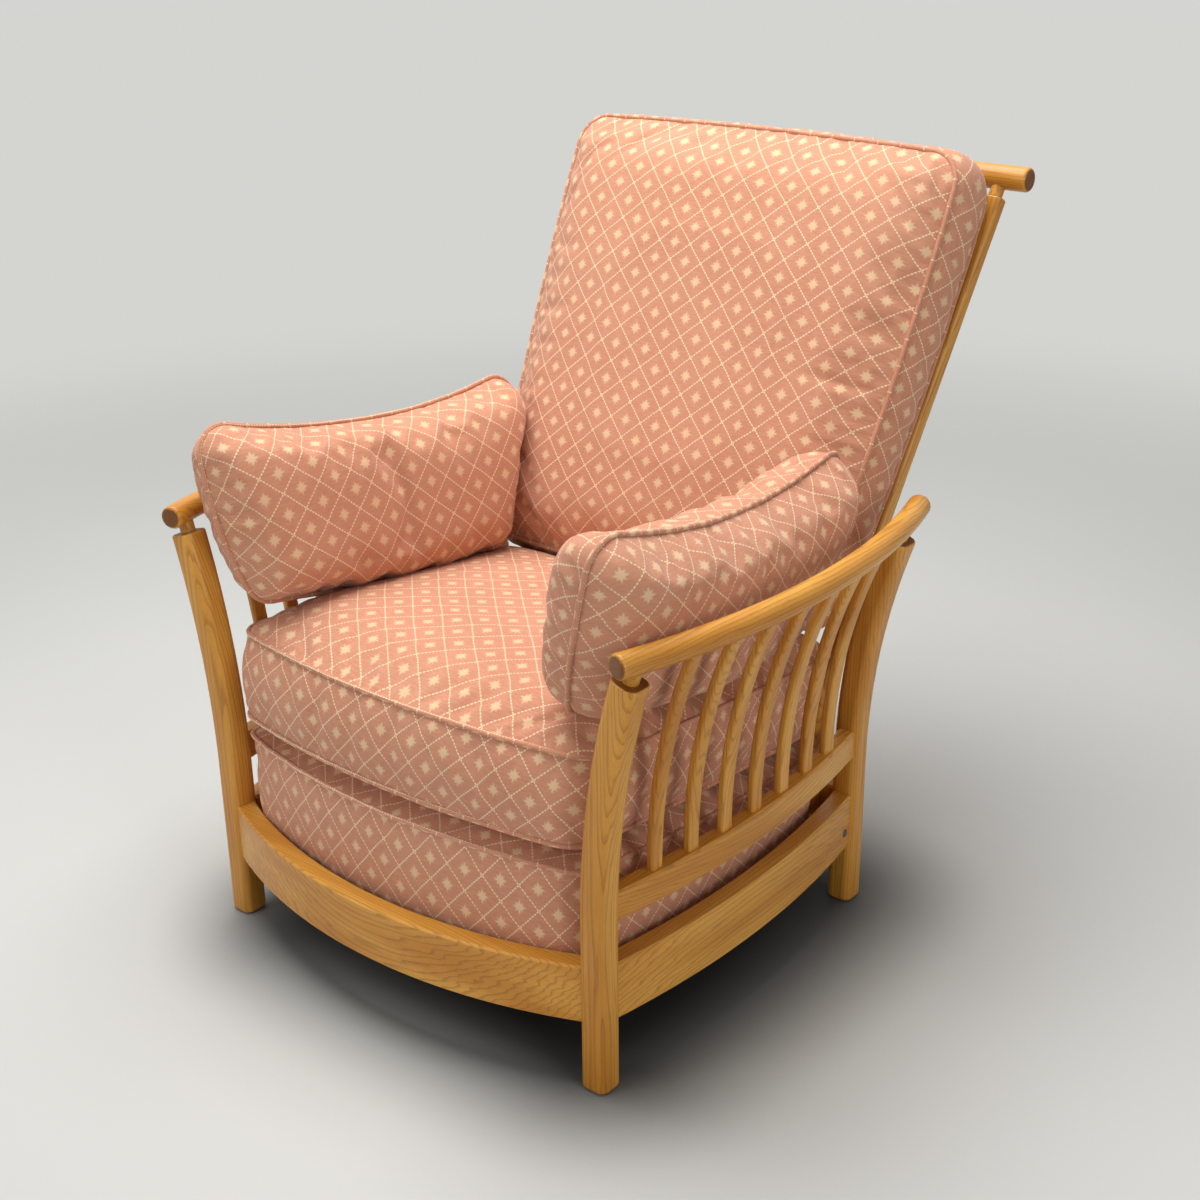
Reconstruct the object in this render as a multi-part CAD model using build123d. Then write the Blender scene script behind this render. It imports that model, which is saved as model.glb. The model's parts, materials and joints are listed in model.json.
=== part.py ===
from build123d import *
import math
import os

# Easy chair with bent arm rails, slatted sides and back, a sprung upholstered deck and four loose cushions.
# Millimetres. X runs across the chair, the front faces -Y, Z is up. "right" is the side at +X.
# The pieces are drawn with the floor at Z = 0 and Y = 0 halfway between the front and rear legs.
# At the end they are all moved so that the origin is the middle of the bottom of the whole chair.

# Legs: a rounded square bar, upright to the bend and then curved outwards to the arm rail
leg_half_spacing_x = 304.0
leg_half_spacing_y = 259.0
leg_width = 36.0
leg_depth = 36.0
leg_corner = 11.0
leg_foot_round = 6.0
leg_top_round = 3.0
leg_bend_height = 215.0
leg_neck_diameter = 19.0
leg_neck_gap = 11.0

# Seat rails, level and bowed outwards at the front and sides
rail_bottom = 89.0
rail_height = 75.0
rail_thickness = 26.0
rail_edge_chamfer = 2.5
front_rail_inset = 1.0
front_rail_bow = 60.0
side_rail_inset = 4.0
side_rail_bow = 23.0
rear_rail_thickness = 22.0

# Spindle rails, which carry the slats under the arms
spindle_rail_bottom = 218.0
spindle_rail_height = 39.0
spindle_rail_thickness = 22.0

# Rail tenons and their mortises in the legs
tenon_thickness = 12.0
tenon_length = 12.0
tenon_shoulder = 11.0
spindle_tenon_shoulder = 7.0
mortise_clearance = 0.2

# Arm rails: a round bar bent outwards in plan
arm_height = 552.0
arm_diameter = 29.0
arm_mid_x = 397.0
arm_bend_radius = 970.0
arm_mid_y = 17.0
arm_half_length = 301.0
arm_end_round = 5.0

# Slats under the arms
arm_slat_count = 7
arm_slat_pitch = 59.0
arm_slat_width = 20.0
arm_slat_thickness = 11.0
arm_slat_corner = 4.0
arm_slat_tenon = 14.0
arm_slat_straight = 8.0
arm_slat_top_depth = 9.0
slat_clearance = 0.1

# Back frame: two uprights, a round top rail, a lower rail and slats
upright_foot_x = 256.0
upright_foot_height = 95.0
upright_width = 28.0
upright_depth = 22.0
upright_corner = 7.0
upright_bend_height = 274.0
upright_bend_radius = 300.0
upright_neck_diameter = 18.0
upright_neck_gap = 11.0
upright_top_round = 3.0
top_rail_upright_x = 300.0
top_rail_y = 565.0
top_rail_height = 911.0
top_rail_diameter = 31.0
top_rail_half_length = 340.0
top_rail_end_round = 5.0
back_rail_height = 318.0
back_rail_width = 46.0
back_rail_thickness = 20.0
back_rail_corner = 4.0
back_rail_tenon = 12.0
back_rail_tenon_thickness = 10.0
back_rail_tenon_shoulder = 7.0
back_slat_count = 7
back_slat_width = 20.0
back_slat_thickness = 10.0
back_slat_corner = 4.0
back_slat_bow = 10.0
back_slat_foot_pitch = 62.0
back_slat_top_pitch = 72.0
back_slat_tenon = 12.0
back_slat_top_depth = 9.0

# Corner blocks, their screws, the back bolts and the plugs over the side rail bolts
block_leg = 80.0
block_height = 38.0
block_clearance = 0.1
screw_diameter = 4.5
screw_head = 9.0
screw_head_height = 3.0
screw_length = 32.0
screw_bite = 15.0
rail_screw_offset = 8.0
side_screw_offset = 26.0
bolt_diameter = 8.0
bolt_head_diameter = 16.0
bolt_head_height = 5.0
bolt_heights = (112.0, 141.0)
bolt_clearance = 0.3
bolt_tip_cover = 4.0
plug_diameter = 11.0
plug_depth = 8.0
plug_proud = 0.8
plug_from_leg = 15.0
plug_height = 116.0
plug_clearance = 0.1

# Upholstered deck inside the seat rails
deck_half_width = 277.0
deck_front = -252.0
deck_rear = 222.0
deck_front_bow = 44.0
deck_side_bow = 15.0
deck_corner = 26.0
deck_front_piping_height = 268.0
deck_slope = 0.083
deck_crown = 20.0
deck_foot_inset = 10.0
deck_cover_thickness = 2.5
deck_bar_height = 34.0
deck_bar_width = 32.0
deck_bar_inset = 22.0
lining_thickness = 1.2

# Zigzag springs with their clips, and the spring cloth over them
spring_count = 6
spring_pitch = 82.0
spring_wire = 3.2
spring_half_width = 19.0
spring_half_turns = 14
clip_length = 22.0
clip_width = 44.0
clip_height = 6.0
spring_cloth_thickness = 1.6
pad_gap = 1.0

# Seat cushion
seat_half_width = 277.0
seat_top_half_width = 285.0
seat_front = -260.0
seat_rear = 208.0
seat_front_bow = 33.0
seat_rear_bow = 4.0
seat_side_bow = 4.0
seat_corner = 40.0
seat_underside_crown = 13.0
seat_boxing_front = 106.0
seat_boxing_rear = 98.0
seat_top_crown = 42.0
seat_boxing_bulge = 5.0
seat_front_lean = 8.0
seat_rear_lean = 34.0

# Back cushion
back_foot_half_width = 262.0
back_head_half_width = 297.0
back_head_over_rail = 18.7
back_foot_bow = 4.0
back_head_bow = 6.0
back_side_bow = 9.0
back_corner = 42.0
back_rear_crown = 2.5
back_boxing_foot = 76.0
back_boxing_head = 90.0
back_front_crown = 46.0
back_boxing_bulge = 12.0
back_foot_height = 396.0

# Arm cushions: two crowned faces that meet in one seam
arm_cushion_length = 460.0
arm_cushion_front_height = 244.0
arm_cushion_rear_height = 248.0
arm_cushion_top_dip = 42.0
arm_cushion_foot_bow = 8.0
arm_cushion_front_bow = 14.0
arm_cushion_rear_bow = 3.0
arm_cushion_front_slant = 24.0
arm_cushion_rear_slant = 42.0
arm_cushion_corner = 34.0
arm_cushion_crown = 52.0
arm_cushion_front_x = 266.0
arm_cushion_rear_y = 236.0
arm_cushion_front_z = 447.0
arm_cushion_toe_in = 4.5
arm_cushion_lean = 13.5
arm_cushion_slope = 5.0

# Clearance of a cushion from what it rests on, and the steps in which it is let down
cushion_clearance = 0.4
settling_steps = 4

# Shares that shape every crowned face, from the seam inwards
crown_inset_shares = (0.0, 0.10, 0.32, 0.62)
crown_rise_shares = (0.0, 0.44, 0.82, 1.0)
crown_reach_share = 0.92
corner_growth_share = 0.55
corner_limit_share = 0.8

# One overrun for every cut
overrun = 40.0

# Sizes that follow from the ones above
arm_radius = arm_diameter / 2
top_rail_radius = top_rail_diameter / 2
leg_inner_x = leg_half_spacing_x - leg_width / 2
leg_inner_y = leg_half_spacing_y - leg_depth / 2
front_rail_face_y = -(leg_half_spacing_y + leg_depth / 2 - front_rail_inset)
side_rail_face_x = leg_half_spacing_x + leg_width / 2 - side_rail_inset
rail_top = rail_bottom + rail_height
spindle_rail_top = spindle_rail_bottom + spindle_rail_height
upright_foot_y = leg_half_spacing_y - rear_rail_thickness / 2 - upright_depth / 2
deck_bottom = rail_bottom + block_height + lining_thickness
deck_length = deck_rear - deck_front
deck_angle = math.degrees(math.atan(deck_slope))


def on_left(shape):
    return mirror(shape, about=Plane.YZ)


def rounded_bar(width, depth, corner):
    return RectangleRounded(width, depth, corner)


def arm_x(y):
    reach = y - arm_mid_y
    return arm_mid_x - arm_bend_radius + math.sqrt(arm_bend_radius**2 - reach**2)


def bent_path(foot_x, y, foot_z, bend_z, top_x, top_z, short):
    # upright to bend_z, then an arc that would end on (top_x, top_z) and stops short of it
    rise = top_z - bend_z
    shift = top_x - foot_x
    radius = (rise**2 + shift**2) / (2 * shift)
    full_angle = math.asin(rise / radius)
    end_angle = full_angle - short / radius

    def on_arc(angle):
        return (foot_x + radius * (1 - math.cos(angle)), y, bend_z + radius * math.sin(angle))

    straight = Line((foot_x, y, foot_z), (foot_x, y, bend_z))
    curve = ThreePointArc((foot_x, y, bend_z), on_arc(end_angle / 2), on_arc(end_angle))
    return straight + curve, Vector(*on_arc(end_angle))


def rod(start, end, diameter):
    start = Vector(*start)
    end = Vector(*end)
    plane = Plane(origin=start, z_dir=end - start)
    return extrude(plane * Circle(diameter / 2), (end - start).length)


def box_between(low, high):
    size = [b - a for a, b in zip(low, high)]
    middle = [(a + b) / 2 for a, b in zip(low, high)]
    return Pos(*middle) * Box(*size)


# Legs

def leg_blank(y):
    short = arm_radius + leg_neck_gap
    path, top = bent_path(
        leg_half_spacing_x, y, 0, leg_bend_height, arm_x(y), arm_height, short
    )
    section = Pos(leg_half_spacing_x, y, 0) * rounded_bar(leg_width, leg_depth, leg_corner)
    return sweep(section, path=path), top


def leg_neck(y, top, clearance):
    centre = Vector(arm_x(y), y, arm_height)
    return rod(top - (centre - top), centre, leg_neck_diameter + 2 * clearance)


def make_leg(y):
    blank, top = leg_blank(y)
    foot = blank.faces().sort_by(Axis.Z)[0]
    blank = fillet(foot.edges(), leg_foot_round)
    head = blank.faces().sort_by_distance(top)[0]
    blank = fillet(head.edges(), leg_top_round)
    return blank + leg_neck(y, top, 0)


# Rails

def bowed_rail(half_chord, face, bow, thickness, reach, bottom, height):
    # a level rail along X: its outer face passes (half_chord, face) and stands bow further out at X = 0
    radius = (half_chord**2 + bow**2) / (2 * bow)
    ring = Pos(0, face + bow - radius) * (Circle(radius) - Circle(radius - thickness))
    window = Pos(0, face) * Rectangle(2 * reach, 4 * (bow + thickness))
    rail = extrude(Pos(0, 0, bottom) * (ring & window), height)
    edges = rail.edges().filter_by(GeomType.CIRCLE).filter_by(lambda e: e.length > half_chord)
    return chamfer(edges, rail_edge_chamfer)


def behind_leg(along_x):
    # the inner half of the legs' outline: a rail stops square there, and its outer half is scribed to the leg
    low_z = rail_bottom - overrun
    high_z = spindle_rail_top + overrun
    far_x = leg_half_spacing_x + overrun
    far_y = leg_half_spacing_y + overrun
    if along_x:
        return box_between((leg_inner_x, -leg_half_spacing_y, low_z), (far_x, leg_half_spacing_y, high_z))
    return box_between((-leg_half_spacing_x, leg_inner_y, low_z), (leg_half_spacing_x, far_y, high_z))


def scribed(rail, legs, along_x):
    for leg in legs:
        rail = rail - leg
    square_end = behind_leg(along_x)
    other_end = mirror(square_end, about=Plane.YZ if along_x else Plane.XZ)
    return rail - square_end - other_end


def tenon_at(x, y, along_x, middle_z, height, clearance):
    length = tenon_length + clearance
    grow = 2 * clearance
    if along_x:
        size = (2 * length, tenon_thickness + grow, height + grow)
    else:
        size = (tenon_thickness + grow, 2 * length, height + grow)
    return Pos(x, y, middle_z) * Box(*size)


def seat_rail_tenons(clearance):
    height = rail_height - 2 * tenon_shoulder
    middle = rail_bottom + rail_height / 2
    front_y = front_rail_face_y + rail_thickness / 2
    side_x = side_rail_face_x - rail_thickness / 2
    front = tenon_at(leg_inner_x, front_y, True, middle, height, clearance)
    rear = tenon_at(leg_inner_x, leg_half_spacing_y, True, middle, height, clearance)
    side_front = tenon_at(side_x, -leg_inner_y, False, middle, height, clearance)
    side_rear = tenon_at(side_x, leg_inner_y, False, middle, height, clearance)
    return front, rear, side_front, side_rear


def spindle_rail_tenons(clearance):
    height = spindle_rail_height - 2 * spindle_tenon_shoulder
    middle = spindle_rail_bottom + spindle_rail_height / 2
    x = side_rail_face_x - spindle_rail_thickness / 2
    return (
        tenon_at(x, -leg_inner_y, False, middle, height, clearance),
        tenon_at(x, leg_inner_y, False, middle, height, clearance),
    )


def side_rail_blank(thickness, bottom, height):
    rail = bowed_rail(
        leg_inner_y, side_rail_face_x, side_rail_bow, thickness, leg_inner_y + leg_corner, bottom, height
    )
    return Rot(0, 0, -90) * rail


def side_rail_outer_x(y):
    radius = (leg_inner_y**2 + side_rail_bow**2) / (2 * side_rail_bow)
    return side_rail_face_x + side_rail_bow - radius + math.sqrt(radius**2 - y**2)


# Arm rail and its slats

def arm_slat_y(index):
    return (index - (arm_slat_count - 1) / 2) * arm_slat_pitch


def make_arm_slat(index, clearance):
    y = arm_slat_y(index)
    foot_x = side_rail_outer_x(y) - spindle_rail_thickness / 2
    foot_z = spindle_rail_top - arm_slat_tenon - clearance
    bend_z = spindle_rail_top + arm_slat_straight
    short = arm_radius - arm_slat_top_depth - clearance
    path, top = bent_path(foot_x, y, foot_z, bend_z, arm_x(y), arm_height, short)
    section = Pos(foot_x, y, foot_z) * rounded_bar(
        arm_slat_thickness + 2 * clearance, arm_slat_width + 2 * clearance, arm_slat_corner
    )
    return sweep(section, path=path)


def make_arm_rail():
    low = arm_mid_y - arm_half_length
    high = arm_mid_y + arm_half_length
    path = ThreePointArc(
        (arm_x(low), low, arm_height),
        (arm_mid_x, arm_mid_y, arm_height),
        (arm_x(high), high, arm_height),
    )
    plane = Plane(origin=path @ 0, z_dir=path % 0)
    rail = sweep(plane * Circle(arm_radius), path=path)
    ends = rail.edges().filter_by(GeomType.CIRCLE).sort_by(Axis.Y)
    ends = [ends[0], ends[-1]]
    return fillet(ends, arm_end_round)


# Back frame

upright_foot = Vector(upright_foot_x, upright_foot_y, upright_foot_height)
upright_corner_point = Vector(upright_foot_x, upright_foot_y, upright_bend_height)
upright_head = Vector(top_rail_upright_x, top_rail_y, top_rail_height)
upright_slope = (top_rail_y - upright_foot_y) / (top_rail_height - upright_bend_height)
upright_splay = (top_rail_upright_x - upright_foot_x) / (top_rail_height - upright_bend_height)
back_rake = math.degrees(math.atan(upright_slope))


def back_plane_y(z):
    # middle plane of the back frame above its bend
    return upright_foot_y + (z - upright_bend_height) * upright_slope


def upright_x(z):
    return upright_foot_x + (z - upright_bend_height) * upright_splay


def make_upright():
    direction = (upright_head - upright_corner_point).normalized()
    top = upright_head - direction * (top_rail_radius + upright_neck_gap)
    path = FilletPolyline(upright_foot, upright_corner_point, top, radius=upright_bend_radius)
    section = Pos(upright_foot) * rounded_bar(upright_width, upright_depth, upright_corner)
    bar = sweep(section, path=path)
    head = bar.faces().sort_by_distance(top)[0]
    bar = fillet(head.edges(), upright_top_round)
    return bar, top, direction


def upright_neck(top, direction, clearance):
    start = top - direction * (top_rail_radius + upright_neck_gap)
    return rod(start, upright_head, upright_neck_diameter + 2 * clearance)


def make_top_rail():
    rail = Pos(0, top_rail_y, top_rail_height) * Rot(0, 90, 0) * Cylinder(
        top_rail_radius, 2 * top_rail_half_length
    )
    return fillet(rail.edges().filter_by(GeomType.CIRCLE), top_rail_end_round)


def back_rail_location(x):
    return Pos(x, back_plane_y(back_rail_height), back_rail_height) * Rot(-back_rake, 0, 0)


def make_back_rail():
    half_length = upright_x(back_rail_height) - upright_width / 2
    bar = extrude(
        Plane.YZ.offset(-half_length) * rounded_bar(back_rail_thickness, back_rail_width, back_rail_corner),
        2 * half_length,
    )
    return back_rail_location(0) * bar


def back_rail_tenons(clearance):
    half_length = upright_x(back_rail_height) - upright_width / 2
    grow = 2 * clearance
    tenon = Box(
        2 * (back_rail_tenon + clearance),
        back_rail_tenon_thickness + grow,
        back_rail_width - 2 * back_rail_tenon_shoulder + grow,
    )
    return [back_rail_location(side * half_length) * tenon for side in (-1, 1)]


def make_back_slat(index, clearance):
    place = index - (back_slat_count - 1) / 2
    foot_x = place * back_slat_foot_pitch
    head_x = place * back_slat_top_pitch
    rake = math.radians(back_rake)
    seat = back_rail_width / 2 - back_slat_tenon - clearance
    foot = Vector(
        foot_x,
        back_plane_y(back_rail_height) + seat * math.sin(rake),
        back_rail_height + seat * math.cos(rake),
    )
    centre = Vector(head_x, top_rail_y, top_rail_height)
    direction = (centre - foot).normalized()
    head = centre - direction * (top_rail_radius - back_slat_top_depth - clearance)
    backwards = Vector(0, math.cos(rake), -math.sin(rake))
    middle = (foot + head) * 0.5 + backwards * back_slat_bow
    path = ThreePointArc(foot, middle, head)
    plane = Plane(origin=foot, x_dir=(1, 0, 0), z_dir=path % 0)
    section = plane * rounded_bar(
        back_slat_width + 2 * clearance, back_slat_thickness + 2 * clearance, back_slat_corner
    )
    return sweep(section, path=path)


# Padded forms

def outline(shape):
    # closed plan from Y = 0 to Y = length; bows stand outwards, and a negative bow is drawn in;
    # a slant carries that end further out at +X, and as far in at -X
    low = shape["half_low"]
    high = shape["half_high"]
    length = shape["length"]
    middle = (low + high) / 2
    left_start = shape["slant_low"]
    right_start = -shape["slant_low"]
    left_end = length - shape["slant_high"]
    right_end = length + shape["slant_high"]
    left_middle = (-middle - shape["bow_left"], (left_start + left_end) / 2)
    right_middle = (middle + shape["bow_right"], (right_start + right_end) / 2)
    edges = [
        ThreePointArc((-low, left_start), (0, -shape["bow_low"]), (low, right_start)),
        ThreePointArc((low, right_start), right_middle, (high, right_end)),
        ThreePointArc((high, right_end), (0, length + shape["bow_high"]), (-high, left_end)),
        ThreePointArc((-high, left_end), left_middle, (-low, left_start)),
    ]
    face = make_face(edges)
    corner = min(shape["corner"], corner_limit_share * min(low, high, length / 2))
    return fillet(face.vertices(), corner)


def shrunk(shape, inset):
    smaller = dict(shape)
    smaller["half_low"] -= inset
    smaller["half_high"] -= inset
    smaller["length"] -= 2 * inset
    return smaller


def crown_sections(shape, rise, direction, place):
    # sections of a crowned face, from the seam inwards and away along the local Z axis
    sections = []
    reach = crown_reach_share * min(shape["half_low"], shape["half_high"], shape["length"] / 2)
    for inset_share, rise_share in zip(crown_inset_shares, crown_rise_shares):
        inset = inset_share * reach
        smaller = shrunk(shape, inset)
        smaller["corner"] += inset * corner_growth_share
        for bow in ("bow_low", "bow_high", "bow_left", "bow_right"):
            smaller[bow] *= 1 - inset_share
        sections.append(place * Pos(0, inset, direction * rise_share * rise) * outline(smaller))
    return sections


def halfway(first, second):
    position = (first.position + second.position) * 0.5
    turn = (first.orientation + second.orientation) * 0.5
    return Location(position, turn)


def box_cushion(lower, upper, lower_place, upper_place, crowns, bulge):
    # two crowned faces and a boxing that swells between their seams
    under = crown_sections(lower, crowns[0], -1, lower_place)
    over = crown_sections(upper, crowns[1], 1, upper_place)
    middle = {key: (lower[key] + upper[key]) / 2 for key in lower}
    waist = halfway(lower_place, upper_place) * Pos(0, -bulge, 0) * outline(shrunk(middle, -bulge))
    boxing = loft([under[0], waist, over[0]])
    return loft(list(reversed(under))) + boxing + loft(over)


def seam_cushion(shape, place, crown):
    # two crowned faces that meet in one seam
    outer = crown_sections(shape, crown, 1, place)
    inner = crown_sections(shape, crown, -1, place)
    return loft(outer) + loft(list(reversed(inner)))


def settled(form, onto, direction):
    # the form, moved along a unit direction until it all but touches another piece
    for attempt in range(settling_steps):
        gap = form.distance_to(onto) - cushion_clearance
        form = Pos(direction * gap) * form
    return form


# Seat cushion on the deck

def deck_place(height):
    return Pos(0, deck_front, deck_front_piping_height + height) * Rot(-deck_angle, 0, 0)


seat_lower_shape = {
    "half_low": seat_half_width, "half_high": seat_half_width,
    "length": seat_rear - seat_front,
    "bow_low": seat_front_bow, "bow_high": seat_rear_bow,
    "bow_left": seat_side_bow, "bow_right": seat_side_bow,
    "corner": seat_corner, "slant_low": 0, "slant_high": 0,
}
seat_upper_shape = dict(seat_lower_shape)
seat_upper_shape["length"] += seat_rear_lean - seat_front_lean
seat_upper_shape["half_low"] = seat_top_half_width
seat_upper_shape["half_high"] = seat_top_half_width
seat_lift = deck_crown + seat_underside_crown + cushion_clearance
seat_lower_place = deck_place(seat_lift) * Pos(0, seat_front - deck_front, 0)
seat_taper = seat_boxing_front - seat_boxing_rear
seat_top_angle = math.degrees(math.atan(seat_taper / seat_upper_shape["length"]))
seat_upper_place = (
    seat_lower_place
    * Pos(0, seat_front_lean, seat_boxing_front)
    * Rot(-seat_top_angle, 0, 0)
)


def make_seat_cushion():
    return box_cushion(
        seat_lower_shape, seat_upper_shape, seat_lower_place, seat_upper_place,
        (seat_underside_crown, seat_top_crown), seat_boxing_bulge,
    )


# Back cushion against the back frame

back_cushion_rise = top_rail_height - back_foot_height
back_cushion_length = back_cushion_rise / math.cos(math.radians(back_rake)) + back_head_over_rail
back_rear_shape = {
    "half_low": back_foot_half_width, "half_high": back_head_half_width,
    "length": back_cushion_length,
    "bow_low": back_foot_bow, "bow_high": back_head_bow,
    "bow_left": back_side_bow, "bow_right": back_side_bow,
    "corner": back_corner, "slant_low": 0, "slant_high": 0,
}
back_front_shape = dict(back_rear_shape)
back_stand = top_rail_radius + back_rear_crown + cushion_clearance
back_rear_place = (
    Pos(0, back_plane_y(back_foot_height), back_foot_height)
    * Rot(90 - back_rake, 0, 0)
    * Pos(0, 0, back_stand)
)
back_taper = math.degrees(math.atan((back_boxing_head - back_boxing_foot) / back_cushion_length))
back_front_place = back_rear_place * Pos(0, 0, back_boxing_foot) * Rot(back_taper, 0, 0)
down_the_back = Vector(0, -math.sin(math.radians(back_rake)), -math.cos(math.radians(back_rake)))


def make_back_cushion():
    return box_cushion(
        back_rear_shape, back_front_shape, back_rear_place, back_front_place,
        (back_rear_crown, back_front_crown), back_boxing_bulge,
    )


# Arm cushions, drawn for the right arm: the local X axis runs up the cushion and the local Y axis to its rear

arm_cushion_shape = {
    "half_low": arm_cushion_front_height / 2, "half_high": arm_cushion_rear_height / 2,
    "length": arm_cushion_length,
    "bow_low": arm_cushion_front_bow, "bow_high": arm_cushion_rear_bow,
    "bow_left": arm_cushion_foot_bow, "bow_right": -arm_cushion_top_dip,
    "corner": arm_cushion_corner,
    "slant_low": arm_cushion_front_slant, "slant_high": arm_cushion_rear_slant,
}
arm_cushion_place = (
    Pos(arm_cushion_front_x, arm_cushion_rear_y - arm_cushion_length, arm_cushion_front_z)
    * Rot(0, 0, arm_cushion_toe_in)
    * Rot(0, arm_cushion_lean, 0)
    * Rot(-arm_cushion_slope, 0, 0)
    * Rot(0, -90, 0)
    * Pos(arm_cushion_front_height / 2, -arm_cushion_front_slant, 0)
)


def make_arm_cushion():
    return seam_cushion(arm_cushion_shape, arm_cushion_place, arm_cushion_crown)


# Upholstered deck: a timber frame, zigzag springs, spring cloth, a foam pad and a fabric cover

deck_shape = {
    "half_low": deck_half_width, "half_high": deck_half_width,
    "length": deck_length,
    "bow_low": deck_front_bow, "bow_high": seat_rear_bow,
    "bow_left": deck_side_bow, "bow_right": deck_side_bow,
    "corner": deck_corner, "slant_low": 0, "slant_high": 0,
}


def deck_block(inset, bottom):
    # the whole upholstered block: upright sides with a crowned, gently sloping top
    shape = shrunk(deck_shape, inset)
    foot = Pos(0, deck_front + inset, bottom) * outline(shape)
    crown = crown_sections(shape, deck_crown, 1, deck_place(-inset) * Pos(0, inset, 0))
    return loft([foot, crown[0]], ruled=True) + loft(crown)


def make_deck_cover():
    return deck_block(0, deck_bottom) - deck_block(deck_cover_thickness, deck_bottom - overrun)


def deck_bars():
    # the four bars of the deck frame, inside the cover
    half_x = deck_half_width - deck_bar_inset
    front = deck_front + deck_bar_inset
    rear = deck_rear - deck_bar_inset
    top = deck_bottom + deck_bar_height
    across = 2 * half_x
    front_bar = box_between((-half_x, front, deck_bottom), (half_x, front + deck_bar_width, top))
    rear_bar = box_between((-half_x, rear - deck_bar_width, deck_bottom), (half_x, rear, top))
    side_bar = box_between(
        (half_x - deck_bar_width, front + deck_bar_width, deck_bottom),
        (half_x, rear - deck_bar_width, top),
    )
    return front_bar, rear_bar, side_bar


spring_z = deck_bottom + deck_bar_height + spring_wire / 2
spring_front = deck_front + deck_bar_inset + deck_bar_width / 2
spring_rear = deck_rear - deck_bar_inset - deck_bar_width / 2


def spring_x(index):
    return (index - (spring_count - 1) / 2) * spring_pitch


def make_spring(index):
    # a flat zigzag wire: straight runs across, joined by half turns
    x = spring_x(index)
    turn = (spring_rear - spring_front) / spring_half_turns
    edges = []
    for step in range(spring_half_turns):
        side = 1 if step % 2 == 0 else -1
        y = spring_front + step * turn
        reach = x + side * spring_half_width
        edges.append(Line((x - side * spring_half_width, y, spring_z), (reach, y, spring_z)))
        edges.append(
            ThreePointArc(
                (reach, y, spring_z),
                (reach + side * turn / 2, y + turn / 2, spring_z),
                (reach, y + turn, spring_z),
            )
        )
    last_side = 1 if spring_half_turns % 2 == 0 else -1
    last_start = (x - last_side * spring_half_width, spring_rear, spring_z)
    edges.append(Line(last_start, (x + last_side * spring_half_width, spring_rear, spring_z)))
    path = Wire(edges)
    plane = Plane(origin=path @ 0, z_dir=path % 0)
    return sweep(plane * Circle(spring_wire / 2), path=path)


def make_clip(index, y):
    x = spring_x(index)
    bottom = deck_bottom + deck_bar_height
    body = box_between(
        (x - clip_width / 2, y - clip_length / 2, bottom),
        (x + clip_width / 2, y + clip_length / 2, bottom + clip_height),
    )
    half = clip_length / 2
    channel = box_between(
        (x - clip_width, y - spring_wire / 2 - mortise_clearance, bottom - overrun),
        (x + clip_width, y + half - spring_wire, bottom + spring_wire + mortise_clearance),
    )
    slot = box_between(
        (x - clip_width, y - half + spring_wire, bottom - overrun),
        (x + clip_width, y + spring_wire, bottom + spring_wire + mortise_clearance),
    )
    return body - channel - slot


spring_cloth_bottom = deck_bottom + deck_bar_height + clip_height + mortise_clearance
pad_bottom = spring_cloth_bottom + spring_cloth_thickness + mortise_clearance


def make_pad():
    inside = deck_cover_thickness + pad_gap
    block = deck_block(inside, deck_bottom)
    frame_x = deck_half_width - deck_bar_inset + mortise_clearance
    well = box_between(
        (-frame_x, deck_front + deck_bar_inset - mortise_clearance, deck_bottom - overrun),
        (frame_x, deck_rear - deck_bar_inset + mortise_clearance, pad_bottom),
    )
    return block - well


def make_spring_cloth():
    half_x = deck_half_width - deck_bar_inset
    return box_between(
        (-half_x, deck_front + deck_bar_inset, spring_cloth_bottom),
        (half_x, deck_rear - deck_bar_inset, spring_cloth_bottom + spring_cloth_thickness),
    )


def make_lining():
    half_x = deck_half_width - deck_foot_inset
    return box_between(
        (-half_x, deck_front + deck_foot_inset, deck_bottom - lining_thickness),
        (half_x, deck_rear - deck_foot_inset, deck_bottom),
    )


# Corner blocks under the deck: triangles scribed to the rails and the leg, with two screws each

def make_block(y_side, neighbours):
    x = leg_half_spacing_x
    y = y_side * leg_half_spacing_y
    corner = [(x, y), (x - block_leg, y), (x, y - y_side * block_leg)]
    block = extrude(Pos(0, 0, rail_bottom) * make_face(Polyline(*corner, close=True)), block_height)
    for neighbour in neighbours:
        block = block - neighbour
    return block


def make_screw(head, direction, clearance):
    # the head stands at its point, and the shank runs along the direction
    start = Vector(*head)
    direction = Vector(*direction)
    shank = rod(start, start + direction * (screw_length + clearance), screw_diameter + 2 * clearance)
    cap = rod(start - direction * screw_head_height, start, screw_head + 2 * clearance)
    return shank + cap


def block_screws(y_side, rail_inner_y, side_inner_x, clearance):
    # one screw into the rail across the chair, and one into the side rail
    z = rail_bottom + block_height / 2
    stand = screw_length - screw_bite
    first = make_screw(
        (leg_inner_x - rail_screw_offset, rail_inner_y - y_side * stand, z), (0, y_side, 0), clearance
    )
    second = make_screw(
        (side_inner_x - stand, y_side * (leg_inner_y - side_screw_offset), z), (1, 0, 0), clearance
    )
    return first, second


def screw_way(y_side, rail_inner_y, side_inner_x):
    # the pocket behind each screw head, open to the slanting face of the block
    z = rail_bottom + block_height / 2
    stand = screw_length - screw_bite
    x = leg_inner_x - rail_screw_offset
    y = y_side * (leg_inner_y - side_screw_offset)
    width = screw_head + 2 * mortise_clearance
    first_end = rail_inner_y - y_side * stand
    first = rod((x, first_end, z), (x, first_end - y_side * block_leg, z), width)
    second = rod((side_inner_x - stand, y, z), (side_inner_x - stand - block_leg, y, z), width)
    return first, second


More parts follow.
